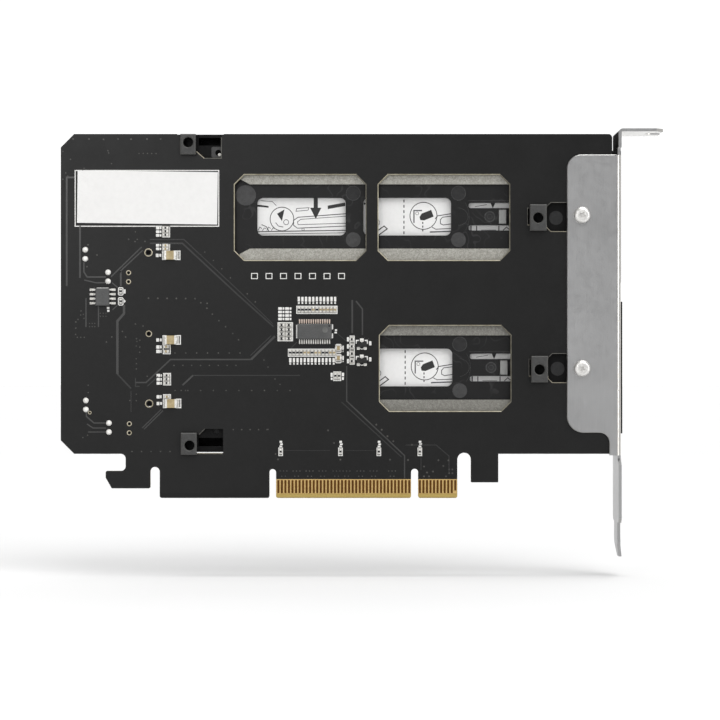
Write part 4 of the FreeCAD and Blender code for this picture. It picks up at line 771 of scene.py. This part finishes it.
# ---- rims of bare laminate round the foot slots, in two painted copies: a painted-lit one on the sides that catch the light and a painted-shade one on the rest
rim = Sheet(SOLDER - 0.010, SOLDER + 0.004)
rim_painted_shade_sheet = Sheet(SOLDER - 0.008, SOLDER + 0.004)
rim.line([(-61.61, 97.91), (-59.46, 96.02)], 0.24)
rim.line([(-62.14, 12.57), (-54.29, 12.57)], 0.12)
rim_painted_shade_sheet.line([(-65.62, 12.60), (-62.14, 12.60)], 0.16)
rim_painted_shade_sheet.line([(-66.2, 102.0), (-66.2, 97.97), (-61.61, 97.91)], 0.16)
rim_painted_shade_sheet.line([(-59.46, 96.02), (-54.60, 96.02), (-54.60, 101.92)], 0.18)
rim_painted_shade_sheet.line([(-60.90, 17.97), (-59.32, 19.55)], 0.16)
for dx, dz in ((0.0, 0.0), (0.40, -42.70)):
    path = ((43.99, 83.55), (38.51, 83.55), (37.30, 82.37), (37.30, 81.97), (31.90, 81.97), (31.90, 77.17), (37.30, 77.17),
            (37.30, 76.52), (38.51, 75.31), (43.99, 75.31))
    rim_painted_shade_sheet.line([(x + dx, z + dz) for x, z in path[:6]], 0.16)
    rim.line([(x + dx, z + dz) for x, z in path[5:]], 0.16)
rim.make("slot_rims", "laminate_lit_painted", "board_black", "card")
rim_painted_shade_sheet.make("slot_rims_shade_painted", "laminate_shade_painted", "board_black", "card")

# ---- copper lines under the mask
tr = Sheet(SOLDER - 0.022, SOLDER + 0.004)
tr_faint = Sheet(SOLDER - 0.020, SOLDER + 0.004)


def t(pts, w=0.30):
    tr.line(pts, w)


def tf(pts, w=0.30):
    tr_faint.line(pts, w)


t([(-96.25, 90.62), (-98.31, 90.62), (-98.31, 59.93)], 0.50)
t([(-94.56, 76.89), (-94.56, 62.19)], 0.50)
t([(-93.45, 66.71), (-93.45, 63.89), (-92.52, 62.48), (-87.21, 62.48)], 0.40)
t([(-93.37, 61.63), (-90.03, 60.84), (-87.21, 60.89)], 0.34)
t([(-85.80, 62.53), (-77.15, 70.95)], 0.34)
t([(-83.14, 63.77), (-83.14, 64.17), (-76.87, 69.99)], 0.34)
t([(-83.03, 64.17), (-83.03, 59.93)], 0.48)
t([(-85.51, 60.89), (-83.82, 59.42)], 0.30)
t([(-92.86, 56.54), (-92.86, 48.35)], 0.34)
t([(-89.33, 54.56), (-89.33, 48.35)], 0.34)
t([(-82.12, 54.56), (-82.12, 52.13), (-83.99, 50.04), (-83.99, 35.06)], 0.68)
tf([(-83.99, 35.06), (-80.14, 30.97)], 0.42)
t([(-84.10, 54.39), (-85.37, 53.21)], 0.30)
t([(-78.87, 32.66), (-75.90, 32.66), (-68.98, 39.16), (-46.23, 39.16)], 0.40)
t([(-46.23, 39.16), (-39.45, 45.75)], 0.62)
tf([(-75.51, 31.62), (-72.51, 34.36)], 0.3)
tf([(-78.87, 33.93), (-78.87, 31.56), (-77.71, 31.56)], 0.28)
tf([(-46.40, 40.26), (-40.52, 45.92)], 0.26)
t([(-65.59, 31.90), (-62.62, 34.67)], 0.46)
tf([(-62.62, 34.67), (-32.39, 34.67)], 0.26)
t([(-76.98, 19.80), (-71.61, 25.06)], 0.30)
t([(-76.47, 19.46), (-71.10, 24.72)], 0.30)
t([(-92.75, 24.61), (-92.75, 23.05), (-90.60, 21.22), (-87.21, 21.22)], 0.34)
t([(-92.58, 20.93), (-90.88, 19.80), (-87.21, 19.80)], 0.30)
t([(-92.29, 18.67), (-87.21, 18.67)], 0.30)
tf([(-74.77, 73.07), (-65.17, 73.07), (-49.34, 58.24), (-40.02, 49.19)], 0.24)
tf([(-74.77, 72.00), (-65.62, 72.00), (-50.02, 57.50), (-39.85, 48.40)], 0.42)
t([(-17.63, 55.98), (-17.63, 46.65)], 0.48)
t([(-16.56, 55.69), (-14.75, 53.43), (-14.75, 46.08)], 0.40)
t([(-19.19, 37.32), (-19.19, 27.43), (-2.83, 12.00), (-2.83, 5.67)], 0.34)
tf([(-20.66, 27.15), (-3.70, 11.61)], 0.28)
tf([(-36.91, 13.45), (-23.91, 13.45)], 0.13)
tf([(-19.67, 13.45), (-11.19, 13.45)], 0.13)
tf([(-2.43, 15.00), (6.05, 15.00), (9.72, 11.89), (9.72, 6.80)], 0.24)
tf([(1.81, 11.33), (1.81, 7.93)], 0.24)
tf([(-80.14, 30.26), (-80.14, 24.33)], 0.22)
tf([(-21.65, 46.37), (-19.39, 44.39)], 0.22)
tf([(-34.82, 42.52), (-33.23, 44.11)], 0.22)
tr.make("copper_lines", "mask_over_copper", "board_black", "card")
tr_faint.make("copper_lines_faint", "mask_over_copper_deep", "board_black", "card")

# ---- vias under the mask
via = Sheet(SOLDER - 0.026, SOLDER + 0.004)


def dots(pts, r=0.24):
    for x, z in pts:
        via.disc(x, z, r, 12)


def row(a, b, n):
    return [(a[0] + (b[0] - a[0]) * k / (n - 1), a[1] + (b[1] - a[1]) * k / (n - 1)) for k in range(n)]


dots([(-96.53, 101.47), (-92.01, 101.47), (-87.91, 101.36), (-83.82, 101.47), (-80.14, 101.42), (-75.62, 101.47), (-71.78, 101.47)])
dots(row((-75.20, 56.48), (-62.06, 56.37), 6))
dots([(-60.42, 55.20), (-58.64, 55.04), (-58.69, 53.66), (-57.17, 51.96), (-55.30, 50.13), (-53.41, 48.43), (-51.40, 46.51), (-49.76, 44.73), (-47.28, 57.73), (-44.99, 55.44)], 0.22)
dots(row((-67.71, 41.00), (-49.34, 41.00), 7), 0.2)
dots(row((-67.99, 37.49), (-50.47, 37.49), 8), 0.2)
dots(row((-67.71, 30.40), (-35.21, 30.40), 10), 0.2)
dots(row((-51.23, 19.35), (-41.71, 19.35), 5), 0.2)
dots(row((-79.86, 13.16), (-69.12, 13.16), 5), 0.2)
dots([(-97.27, 95.74), (-93.43, 93.19), (-93.82, 92.71), (-99.39, 97.97), (-98.60, 91.89), (-99.39, 90.08), (-98.00, 90.96), (-86.67, 98.17), (-86.47, 97.54), (-85.68, 94.52), (-89.89, 90.40)], 0.2)
dots([(-78.39, 73.10), (-78.90, 75.25), (-71.86, 71.07), (-73.19, 76.10), (-59.29, 69.51), (-56.86, 67.14), (-54.48, 64.79), (-52.05, 62.25), (-78.48, 44.25), (-78.67, 42.98), (-78.67, 39.36), (-78.62, 38.00), (-78.62, 36.50), (-77.71, 41.22), (-77.66, 42.67), (-75.57, 34.41), (-92.24, 31.90), (-92.24, 29.81), (-80.48, 27.55), (-78.65, 27.55), (-78.65, 29.36), (-67.57, 30.40), (-65.96, 30.40), (-64.77, 30.40), (-92.41, 17.77), (-93.76, 17.09)], 0.18)
dots(row((-77.88, 97.38), (-73.08, 97.38), 5), 0.16)
dots([(-92.58, 65.41), (-92.29, 71.57), (-79.01, 72.48), (-89.75, 68.69), (-80.82, 73.16), (-76.19, 72.54)], 0.22)
dots([(-94.27, 52.87), (-94.36, 51.74), (-93.59, 51.91), (-93.43, 50.78), (-95.12, 50.49), (-95.74, 49.76), (-95.74, 48.06), (-95.80, 46.23), (-95.32, 45.43), (-94.36, 45.43), (-93.34, 45.43)], 0.2)
for x in (-88.79, -88.00, -87.21):
    dots([(x, 52.25), (x, 51.37)], 0.17)
for x in (-91.84, -91.11, -90.37):
    dots([(x, 49.36), (x, 48.46)], 0.17)
dots([(-85.57, 45.52), (-81.67, 45.52), (-82.57, 47.10), (-78.90, 49.19), (-78.62, 45.07), (-77.66, 44.62), (-87.10, 44.11), (-76.75, 48.63)], 0.2)
dots([(-41.43, 37.04), (-41.43, 19.41), (-42.56, 39.02), (-39.45, 33.65), (-39.28, 12.46), (-38.04, 32.12)], 0.2)
for x in (-37.05, -33.37, -29.70, -26.03, -22.07, -19.24, -15.29, -11.62, -6.39):
    dots([(x - 0.96, 7.65), (x, 7.65), (x + 0.96, 7.65), (x - 0.48, 6.18), (x + 0.54, 6.18)], 0.17)
dots([(2.66, 8.92), (3.50, 7.23), (5.20, 7.51), (6.73, 10.70), (8.14, 9.07), (9.55, 10.65), (9.78, 8.10), (10.68, 8.10), (9.78, 7.03), (10.68, 7.03), (8.87, 6.13), (2.66, 6.13), (4.07, 6.13), (-10.82, 20.74), (-9.30, 19.32), (-7.66, 17.49), (-6.02, 16.07), (-1.87, 10.76), (-0.74, 15.06), (-22.78, 15.56), (-24.47, 19.13), (-20.97, 10.87), (-6.95, 10.87), (-38.60, 10.93)], 0.26)
via.make("via_dots", "mask_over_via", "board_black", "card")

# ---- plated rings: open holes, socket peg holes
ringm = Sheet(SOLDER - 0.03, SOLDER + 0.004)
for x, z in ((-80.84, 63.69), (-80.84, 61.15), (-80.61, 20.99), (-80.61, 18.45)):
    ringm.ring(x, z, 0.45, 0.70, 26)
for x, z, r in ((-75.2, 69.40, 0.9), (-75.1, 46.45, 0.66), (-75.0, 26.70, 0.9)):
    ringm.ring(x, z, r, r + 0.26, 30)
ringm.ring(-91.8, 24.16, 0.3, 0.5, 18)
ringm.make("plated_rings", "plated_ring", "solder_tin", "card")

# the open bores inside those rings, drawn as dark discs of painted shade
bore = Sheet(SOLDER - 0.024, SOLDER + 0.004)
for x, z, r in ((-80.84, 63.69, 0.47), (-80.84, 61.15, 0.47), (-80.61, 20.99, 0.47), (-80.61, 18.45, 0.47),
                (-75.2, 69.40, 0.62), (-75.1, 46.45, 0.50), (-75.0, 26.70, 0.62), (-91.8, 24.16, 0.3)):
    bore.poly(rrect(x - r, x + r, z - r, z + r, r * 0.99, 7))
bore.make("plated_bores", "bore_shadow", "board_black", "card")

# ---- solder: domes on the header pins, fillets on the small parts, pads under the leads
dome = Sheet(SOLDER - 0.6, SOLDER + 0.01)
for x, z in ((-93.08, 70.16), (-93.08, 67.62), (-86.64, 63.80), (-86.64, 61.26),
             (-92.90, 27.58), (-92.90, 25.04), (-86.38, 21.20), (-86.38, 18.66)):
    dome.dome(x, z, 0.82, 0.80, 0.90, 22, 7, 0.85)
dome.make("pin_solder", "tin_bright", "solder_tin", "card", True)

pads = Sheet(SOLDER - 0.05, SOLDER + 0.004)
copper = Sheet(SOLDER - 0.05, SOLDER + 0.004)
bright = Sheet(SOLDER - 0.05, SOLDER + 0.004)
gap = Sheet(SOLDER - 0.058, SOLDER + 0.004)
tan = Sheet(SOLDER - 0.066, SOLDER + 0.004)
for k in range(4):
    z = 56.98 + (1.5 - k) * 1.27
    for s in (-1, 1):
        pads.poly(rrect(-88.15 + s * 2.95 - 0.72, -88.15 + s * 2.95 + 0.72, z - 0.34, z + 0.34, 0.12, 3), 0.03)
for k in range(14):
    x = -28.26 + (k - 6.5) * 0.65
    for s in (-1, 1):
        zc = 47.05 + s * 2.95
        (copper if s > 0 else pads).box(x - 0.2, x + 0.2, zc - 0.55, zc + 0.55, 0.02)
for z in (43.37, 38.80):
    bright.poly(rrect(-14.92 - 0.55, -14.92 + 0.55, z + 0.80, z + 1.76, 0.12, 3), 0.04)
    for s in (-0.97, 0.95):
        bright.poly(rrect(-14.92 + s - 0.45, -14.92 + s + 0.45, z - 1.45, z - 0.68, 0.12, 3), 0.04)
fil = Sheet(SOLDER - 0.3, SOLDER + 0.005)


def small(x, z, along, reach=0.82, big=False, half=0.42, dark=(0.34, 0.30), fill=None):
    """Solder round one small part: its pads, the dark gap or the flux colour between them, and two fillets."""
    ln, wd, tl = (1.6, 0.85, 0.5) if big else (1.05, 0.55, 0.38)
    for s in (-1, 1):
        e = s * (ln / 2 + 0.02)
        if along == "x":
            fil.dome(x + e, z, 0.2, wd / 2 + 0.05, tl * 0.6, 12, 4)
        else:
            fil.dome(x, z + e, wd / 2 + 0.05, 0.2, tl * 0.6, 12, 4)
    rx, rz = (reach, half) if along == "x" else (half, reach)
    pads.poly(rrect(x - rx, x + rx, z - rz, z + rz, 0.12, 2), 0.03)
    if fill:
        gx, gz = fill if along == "x" else fill[::-1]
        tan.poly(rrect(x - gx, x + gx, z - gz, z + gz, 0.1, 2), 0.02)
    elif dark:
        gx, gz = dark if along == "x" else dark[::-1]
        gap.poly(rrect(x - gx, x + gx, z - gz, z + gz, 0.08, 2))


for k, c in enumerate("rrrrcrccccc"):
    small(-32.69 + k * 1.017, 53.24, "z", 0.86, False, 0.49, (0.36, 0.40), (0.66, 0.40) if c == "c" else None)
for k, c in enumerate("rrrrccrccrrcc"):
    small(-35.18 + k * 1.034, 41.11, "z", 0.86, False, 0.50, (0.36, 0.40), (0.66, 0.40) if c == "c" else None)
for k in range(4):
    small(-37.6, 48.9 - k * 1.27, "x", 0.98, False, 0.60, (0.52, 0.42))
    small(-35.55, 48.9 - k * 1.27, "x", 0.98, False, 0.60, (0.52, 0.42))
for z in (44.87, 42.87, 40.80, 38.71):
    small(-17.75, z, "x", 0.64, False, 0.90, (0.36, 0.34))
small(-21.53, 42.4, "x", 0.84, True, 0.98, None, (0.56, 0.62))
small(-21.53, 39.6, "x", 0.84, True, 0.98, None, (0.56, 0.62))
for x in (-22.41, -21.33):
    small(x, 34.56, "z", 1.08, False, 0.54, (0.44, 0.34))
for x in (-37.85, -20.95, -10.1, 1.47):
    small(x, 13.15, "z")
for z in (58.46, 55.64):
    small(-83.07, z, "z", 0.72, False, 0.44, (0.40, 0.38))
for x, zs in ((-70.4, (76.38, 75.42, 74.38, 71.4, 70.42)), (-70.25, (42.78, 41.45)), (-70.1, (34.67, 33.6, 32.52)), (-70.0, (28.62,))):
    for z in zs:
        cap = z in (71.4, 70.42, 42.78, 41.45, 28.62)
        small(x, z, "x", 0.90, False, 0.5, (0.34, 0.30), (0.5, 0.3) if cap else None)
for x, z in ((-69.03, 68.61), (-68.9, 44.7), (-68.8, 26.75)):
    for s in (-1, 1):
        fil.dome(x + s * 1.62, z, 0.34, 1.10, 0.85, 18, 5)
    pads.poly(rrect(x - 2.16, x - 0.98, z - 1.10, z + 1.10, 0.2, 3), 0.04)
    pads.poly(rrect(x + 0.98, x + 2.34, z - 1.10, z + 1.10, 0.2, 3), 0.04)
fil.make("small_fillets", "tin_solder", "solder_tin", "card", True)
pads.make("lead_pads", "pad_tin", "solder_tin", "card")
gap.make("pad_gaps", "mask_gap", "board_black", "card")
tan.make("flux_fill", "flux_tan", "solder_tin", "card")
copper.make("clock_pads", "lead_copper", "solder_tin", "card")
bright.make("transistor_pads", "tin_bright", "solder_tin", "card")

# chip details: a moulded dimple, a pale patch and a pin-one dot
dim = Sheet(SOLDER - 0.1 - 1.45 - 0.012, SOLDER - 0.1 - 1.45 + 0.01)
dim.disc(-87.27, 55.1, 0.36, 20)
dim.make("memory_dimple", "lever_grey", "chip_black", "card")
dim = Sheet(SOLDER - 0.1 - 1.0 - 0.012, SOLDER - 0.1 - 1.0 + 0.01)
dim.disc(-25.3, 47.5, 0.8, 24)
dim.make("clock_dimple", "ejector_pale", "chip_black", "card")
dim = Sheet(SOLDER - 0.1 - 1.0 - 0.012, SOLDER - 0.1 - 1.0 + 0.01)
dim.disc(-24.1, 48.65, 0.28, 18)
dim.make("clock_dot", "resistor_glaze", "chip_black", "card")

# ---- moulding marks
floor_y = 1.85
for side, zc, dx in (("upper", 79.67, 0.0), ("lower", 36.89, 0.35)):
    mark = Sheet(floor_y - 0.05, floor_y + 0.01)
    faint = Sheet(floor_y - 0.03, floor_y + 0.01)
    lines = Sheet(floor_y - 0.06, floor_y + 0.01)
    for x, z, r in ((-47.8, 6.05, 2.85), (-17.35, -6.55, 2.08), (12.5, -6.55, 2.06)):
        mark.disc(x + dx, zc + z, r, 36, 0.04)
        lines.ring(x + dx, zc + z, r - 0.06, r + 0.05, 44)
        lines.ring(x + dx, zc + z, 0.0 + r * 0.52, 0.0 + r * 0.52 + 0.08, 30)
    for x, z in ((-17.35, 6.65), (12.5, 6.65)):
        faint.disc(x + dx, zc + z, 1.95, 36, 0.04)
        lines.ring(x + dx, zc + z, 1.92, 2.10, 44)
    faint.disc(21.37 + dx, zc, 1.30, 30, 0.04)
    lines.ring(21.37 + dx, zc, 1.26, 1.56, 36)
    lines.ring(21.37 + dx, zc, 0.60, 0.72, 24)
    lines.box(15.2 + dx, 30.2 + dx, zc + 4.42, zc + 4.56)
    lines.line([(11.9 + dx + 3.3 * math.cos(math.radians(a)), zc + 2.6 * math.sin(math.radians(a))) for a in range(-80, 85, 10)], 0.10)
    lines.line([(13.1 + dx + 2.42 * math.cos(math.radians(a)), zc + 4.6 * math.sin(math.radians(a))) for a in range(-60, 65, 10)], 0.08)
    mark.make(side + "_ejector_marks", "ejector_mark", "tray_plastic", side + "_drive_tray")
    faint.make(side + "_faint_marks", "ejector_faint", "tray_plastic", side + "_drive_tray")
    lines.make(side + "_mould_lines", "ejector_line", "tray_plastic", side + "_drive_tray")
base_mark = Sheet(0.845 - 0.04, 0.845 + 0.01)
base_mark.disc(40.05, 79.25, 2.0, 32, 0.04)
base_mark.disc(40.5, 36.55, 2.0, 32, 0.04)
base_mark.make("rack_ejector_marks", "ejector_faint", "rack_plastic", "card")

# the boss seen in the upper foot slot: its pad, its bore as a dark disc of painted shade, and a painted glint, a bright
# disc drawn as the end of a screw in it
boss = Sheet(0.845 - 0.03, 0.845 + 0.01)
boss.poly(rrect(-57.5, -54.2, 96.3, 99.4, 0.5, 4), 0.02)
boss.make("rack_boss_pad", "ejector_mark", "rack_plastic", "card")
bossbore = Sheet(0.845 - 0.05, 0.845 + 0.01)
bossbore.disc(-55.55, 97.7, 0.86, 26, 0.01)
bossbore.make("rack_boss_bore", "bore_shadow", "rack_plastic", "card")
glint_sheet = Sheet(0.845 - 0.09, 0.845 + 0.01)
glint_sheet.disc(-55.2, 97.18, 0.46, 22, 0.02)
glint_sheet.make("rack_boss_painted_glint", "tin_bright", "solder_tin", "card")

# ---- print on the cards under the trays: plain arrows, rings and outlines
CY = 3.38
for side, zc, dx in (("upper", 79.67, 0.0), ("lower", 36.89, 0.35)):
    ink = Sheet(CY - 0.012, CY + 0.004)
    grey = Sheet(CY - 0.010, CY + 0.004)
    ink.fat, grey.fat = 1.3, 1.5

    def P(x, z, zc=zc, dx=dx):
        return (x + dx, zc + z)

    # first opening: arrow, ring with a pointer, a bar and a long rounded outline
    ink.poly([P(-28.6, 5.8), P(-28.6, 2.6), P(-29.6, 2.6), P(-28.0, -0.6), P(-26.4, 2.6), P(-27.4, 2.6), P(-27.4, 5.8)])
    ink.ring(P(-37.6, -0.6)[0], P(-37.6, -0.6)[1], 3.25, 3.46, 48)
    ink.poly([P(-39.0, 0.9), P(-36.9, 2.1), P(-37.6, -1.2)])
    ink.poly([P(-24.6, 3.2), P(-19.6, 4.1), P(-19.6, 3.1), P(-24.6, 2.2)])
    ink.poly([P(-44.6, 3.5), P(-41.4, 3.1), P(-41.4, 2.6), P(-44.6, 2.9)])
    grey.line([P(-19.5, 0.9), P(-33.0, -0.1), P(-34.3, -1.0), P(-34.3, -2.4), P(-33.2, -3.2), P(-19.5, -2.6)], 0.16)
    grey.line([P(-19.5, 0.2), P(-32.2, -0.7), P(-33.2, -1.4), P(-33.0, -2.2), P(-19.5, -1.8)], 0.12)
    grey.line([P(-19.5, -3.8), P(-44.5, -4.2)], 0.20)
    grey.line([P(-19.5, -4.5), P(-44.5, -4.9)], 0.12)
    ink.line([P(-43.4, -2.2), P(-42.0, -2.8), P(-41.2, -4.2)], 0.16)
    grey.ring(P(-36.4, -1.5)[0], P(-36.4, -1.5)[1], 0.62, 0.8, 22)
    grey.line([P(-39.4, -1.6), P(-38.6, -2.6), P(-37.2, -2.9)], 0.14)
    for k in range(4):
        grey.line([P(-44.4 + 1.25 * k, -3.9), P(-43.9 + 1.25 * k, -2.9 - 0.25 * (k % 2)), P(-43.3 + 1.25 * k, -3.3)], 0.13)
    grey.line([P(-33.6, 1.6), P(-30.2, 1.9), P(-29.9, 2.6), P(-33.4, 2.4)], 0.12, True)
    grey.ring(P(-31.6, -3.55)[0], P(-31.6, -3.55)[1], 0.28, 0.42, 18)
    ink.line([P(-26.2, 0.35), P(-19.6, 0.85)], 0.12)
    grey.line([P(-43.6, 4.6), P(-40.4, 4.4), P(-39.2, 3.2)], 0.12)
    # second opening: ring round a dark peg, dashed fold line, outlines
    cx, cz = 2.6, 0.3
    ink.ring(P(cx, cz)[0], P(cx, cz)[1], 3.72, 3.94, 56)
    ink.poly([P(cx - 1.1, cz - 0.3), P(cx - 0.5, cz + 0.65), P(cx + 2.2, cz + 1.7), P(cx + 2.9, cz - 0.2), P(cx + 0.2, cz - 1.3), P(cx - 0.9, cz - 1.2)])
    for k in range(3):
        ink.box(P(cx - 0.35, 0)[0], P(cx - 0.05, 0)[0], zc + cz - 2.3 - 1.05 * k, zc + cz - 1.7 - 1.05 * k)
    for k in range(7):
        ink.box(P(-3.1, 0)[0], P(-2.8, 0)[0], zc - 4.9 + 1.5 * k, zc - 4.1 + 1.5 * k)
    grey.line([P(cx - 2.7, cz - 2.0), P(cx - 2.7, cz + 1.5), P(cx - 0.4, cz + 1.5)], 0.24)
    grey.ring(P(cx - 1.8, cz + 0.7)[0], P(cx - 1.8, cz + 0.7)[1], 0.36, 0.5, 18)
    grey.line([P(10.4, 0.9), P(6.6, 0.3), P(5.9, -0.6)], 0.18)
    grey.line([P(10.4, 0.2), P(8.0, -0.1), P(7.4, -0.8), P(7.4, -1.9), P(8.2, -2.3), P(10.4, -2.0)], 0.16)
    grey.line([P(10.4, -3.3), P(6.1, -3.5), P(5.0, -2.9)], 0.16)
    grey.line([P(10.4, -4.1), P(4.4, -4.3)], 0.26)
    ink.line([P(-8.6, -2.6), P(-11.3, -4.6), P(-10.3, -5.3), P(-7.7, -3.4)], 0.22, True)
    grey.ring(P(-10.9, -1.6)[0], P(-10.9, -1.6)[1], 0.95, 1.12, 24)
    grey.line([P(-12.6, -5.3), P(-11.5, -3.4)], 0.18)
    ink.poly([P(-14.4, 4.0), P(-12.2, 4.0), P(-12.2, 3.5), P(-14.4, 3.5)])
    # the two slots: a pointer and short marks
    ink.poly([P(21.4, 4.5), P(23.2, 4.5), P(22.3, 2.4)])
    grey.line([P(17.2, 2.9), P(20.6, 3.5)], 0.1)
    grey.line([P(16.1, -2.5), P(16.1, -3.9)], 0.26)
    grey.line([P(17.7, -2.5), P(17.7, -3.9)], 0.2)
    grey.line([P(24.0, -2.5), P(24.0, -3.9)], 0.2)
    grey.line([P(25.2, -3.8), P(26.2, -2.9), P(27.2, -3.8), P(28.2, -2.9)], 0.16)
    grey.line([P(19.0, -3.75), P(23.2, -3.75)], 0.1)
    ink.make(side + "_card_print", "print_black", "card_white", side + "_drive_tray")
    grey.make(side + "_card_lines", "print_grey", "card_white", side + "_drive_tray")

# ------------------------------------------------------------------ stage, light, camera

floor_me = bpy.data.meshes.new("stage_floor")
FZ = -22.4 * MM
R = 6.0
floor_me.from_pydata([(-R, -R, FZ), (R, -R, FZ), (R, R, FZ), (-R, R, FZ)], [], [(0, 1, 2, 3)])
floor = bpy.data.objects.new("stage_floor", floor_me)
bpy.context.scene.collection.objects.link(floor)
fm = Mat("floor_paper")
fm.color(fm.ramp(fm.noise(6, 2), [(0.3, (0.665, 0.665, 0.665)), (0.7, (0.680, 0.680, 0.680))]))
fm.rough(0.9)
fm.b.inputs["Specular IOR Level"].default_value = 0.1
fm.b.inputs["Emission Color"].default_value = (1, 1, 1, 1)
fm.b.inputs["Emission Strength"].default_value = 0.04
floor.data.materials.append(fm.m)

world = bpy.data.worlds.new("studio")
bpy.context.scene.world = world
world.use_nodes = True
wt = world.node_tree
bg = wt.nodes["Background"]
wc = wt.nodes.new("ShaderNodeTexCoord")
ws = wt.nodes.new("ShaderNodeSeparateXYZ")
wt.links.new(wc.outputs["Generated"], ws.inputs[0])
wr = wt.nodes.new("ShaderNodeMapRange")
wr.inputs["From Min"].default_value = -0.35
wr.inputs["From Max"].default_value = 0.75
wr.inputs["To Min"].default_value = 0.30
wr.inputs["To Max"].default_value = 1.12
wt.links.new(ws.outputs[1], wr.inputs["Value"])
wt.links.new(wr.outputs[0], bg.inputs["Color"])
bg.inputs["Strength"].default_value = 1.0


def sun(name, toward, strength, spread):
    """Soft parallel light coming from the direction toward."""
    d = bpy.data.lights.new(name, "SUN")
    d.energy = strength
    d.angle = math.radians(spread)
    o = bpy.data.objects.new(name, d)
    bpy.context.scene.collection.objects.link(o)
    o.location = Vector(toward)
    o.rotation_euler = (-Vector(toward)).to_track_quat("-Z", "Y").to_euler()
    return o


sun("top_light", (0.05, -0.05, 1.0), 1.35, 34)
sun("key_light", (0.42, -0.85, 0.92), 1.66, 44)
sun("fill_light", (-0.9, -0.6, 0.7), 0.12, 50)


def softbox(name, loc, target, size, power):
    d = bpy.data.lights.new(name, "AREA")
    d.shape = "RECTANGLE"
    d.size, d.size_y = size
    d.energy = power
    o = bpy.data.objects.new(name, d)
    bpy.context.scene.collection.objects.link(o)
    o.location = Vector(loc)
    o.rotation_euler = (Vector(target) - Vector(loc)).to_track_quat("-Z", "Y").to_euler()
    return o


softbox("left_box", (-0.235, -0.76, 0.235), (-0.08, 0.0, 0.08), (0.20, 0.20), 0.92)
softbox("right_strip", (0.75, -0.42, 0.05), (0.057, 0.0, 0.05), (0.16, 0.7), 2.3)

cam = bpy.data.cameras.new("camera")
cam.lens = 141.55
cam.sensor_width = 36.0
cam.clip_start = 0.01
cam_o = bpy.data.objects.new("camera", cam)
bpy.context.scene.collection.objects.link(cam_o)
cam_o.location = (-0.01543, -0.8008, 0.03902)
cam_o.rotation_euler = (math.radians(90), 0, 0)
bpy.context.scene.camera = cam_o
vs = bpy.context.scene.view_settings
vs.view_transform = "Standard"
vs.look = "None"
vs.exposure = 0.0
vs.gamma = 1.0
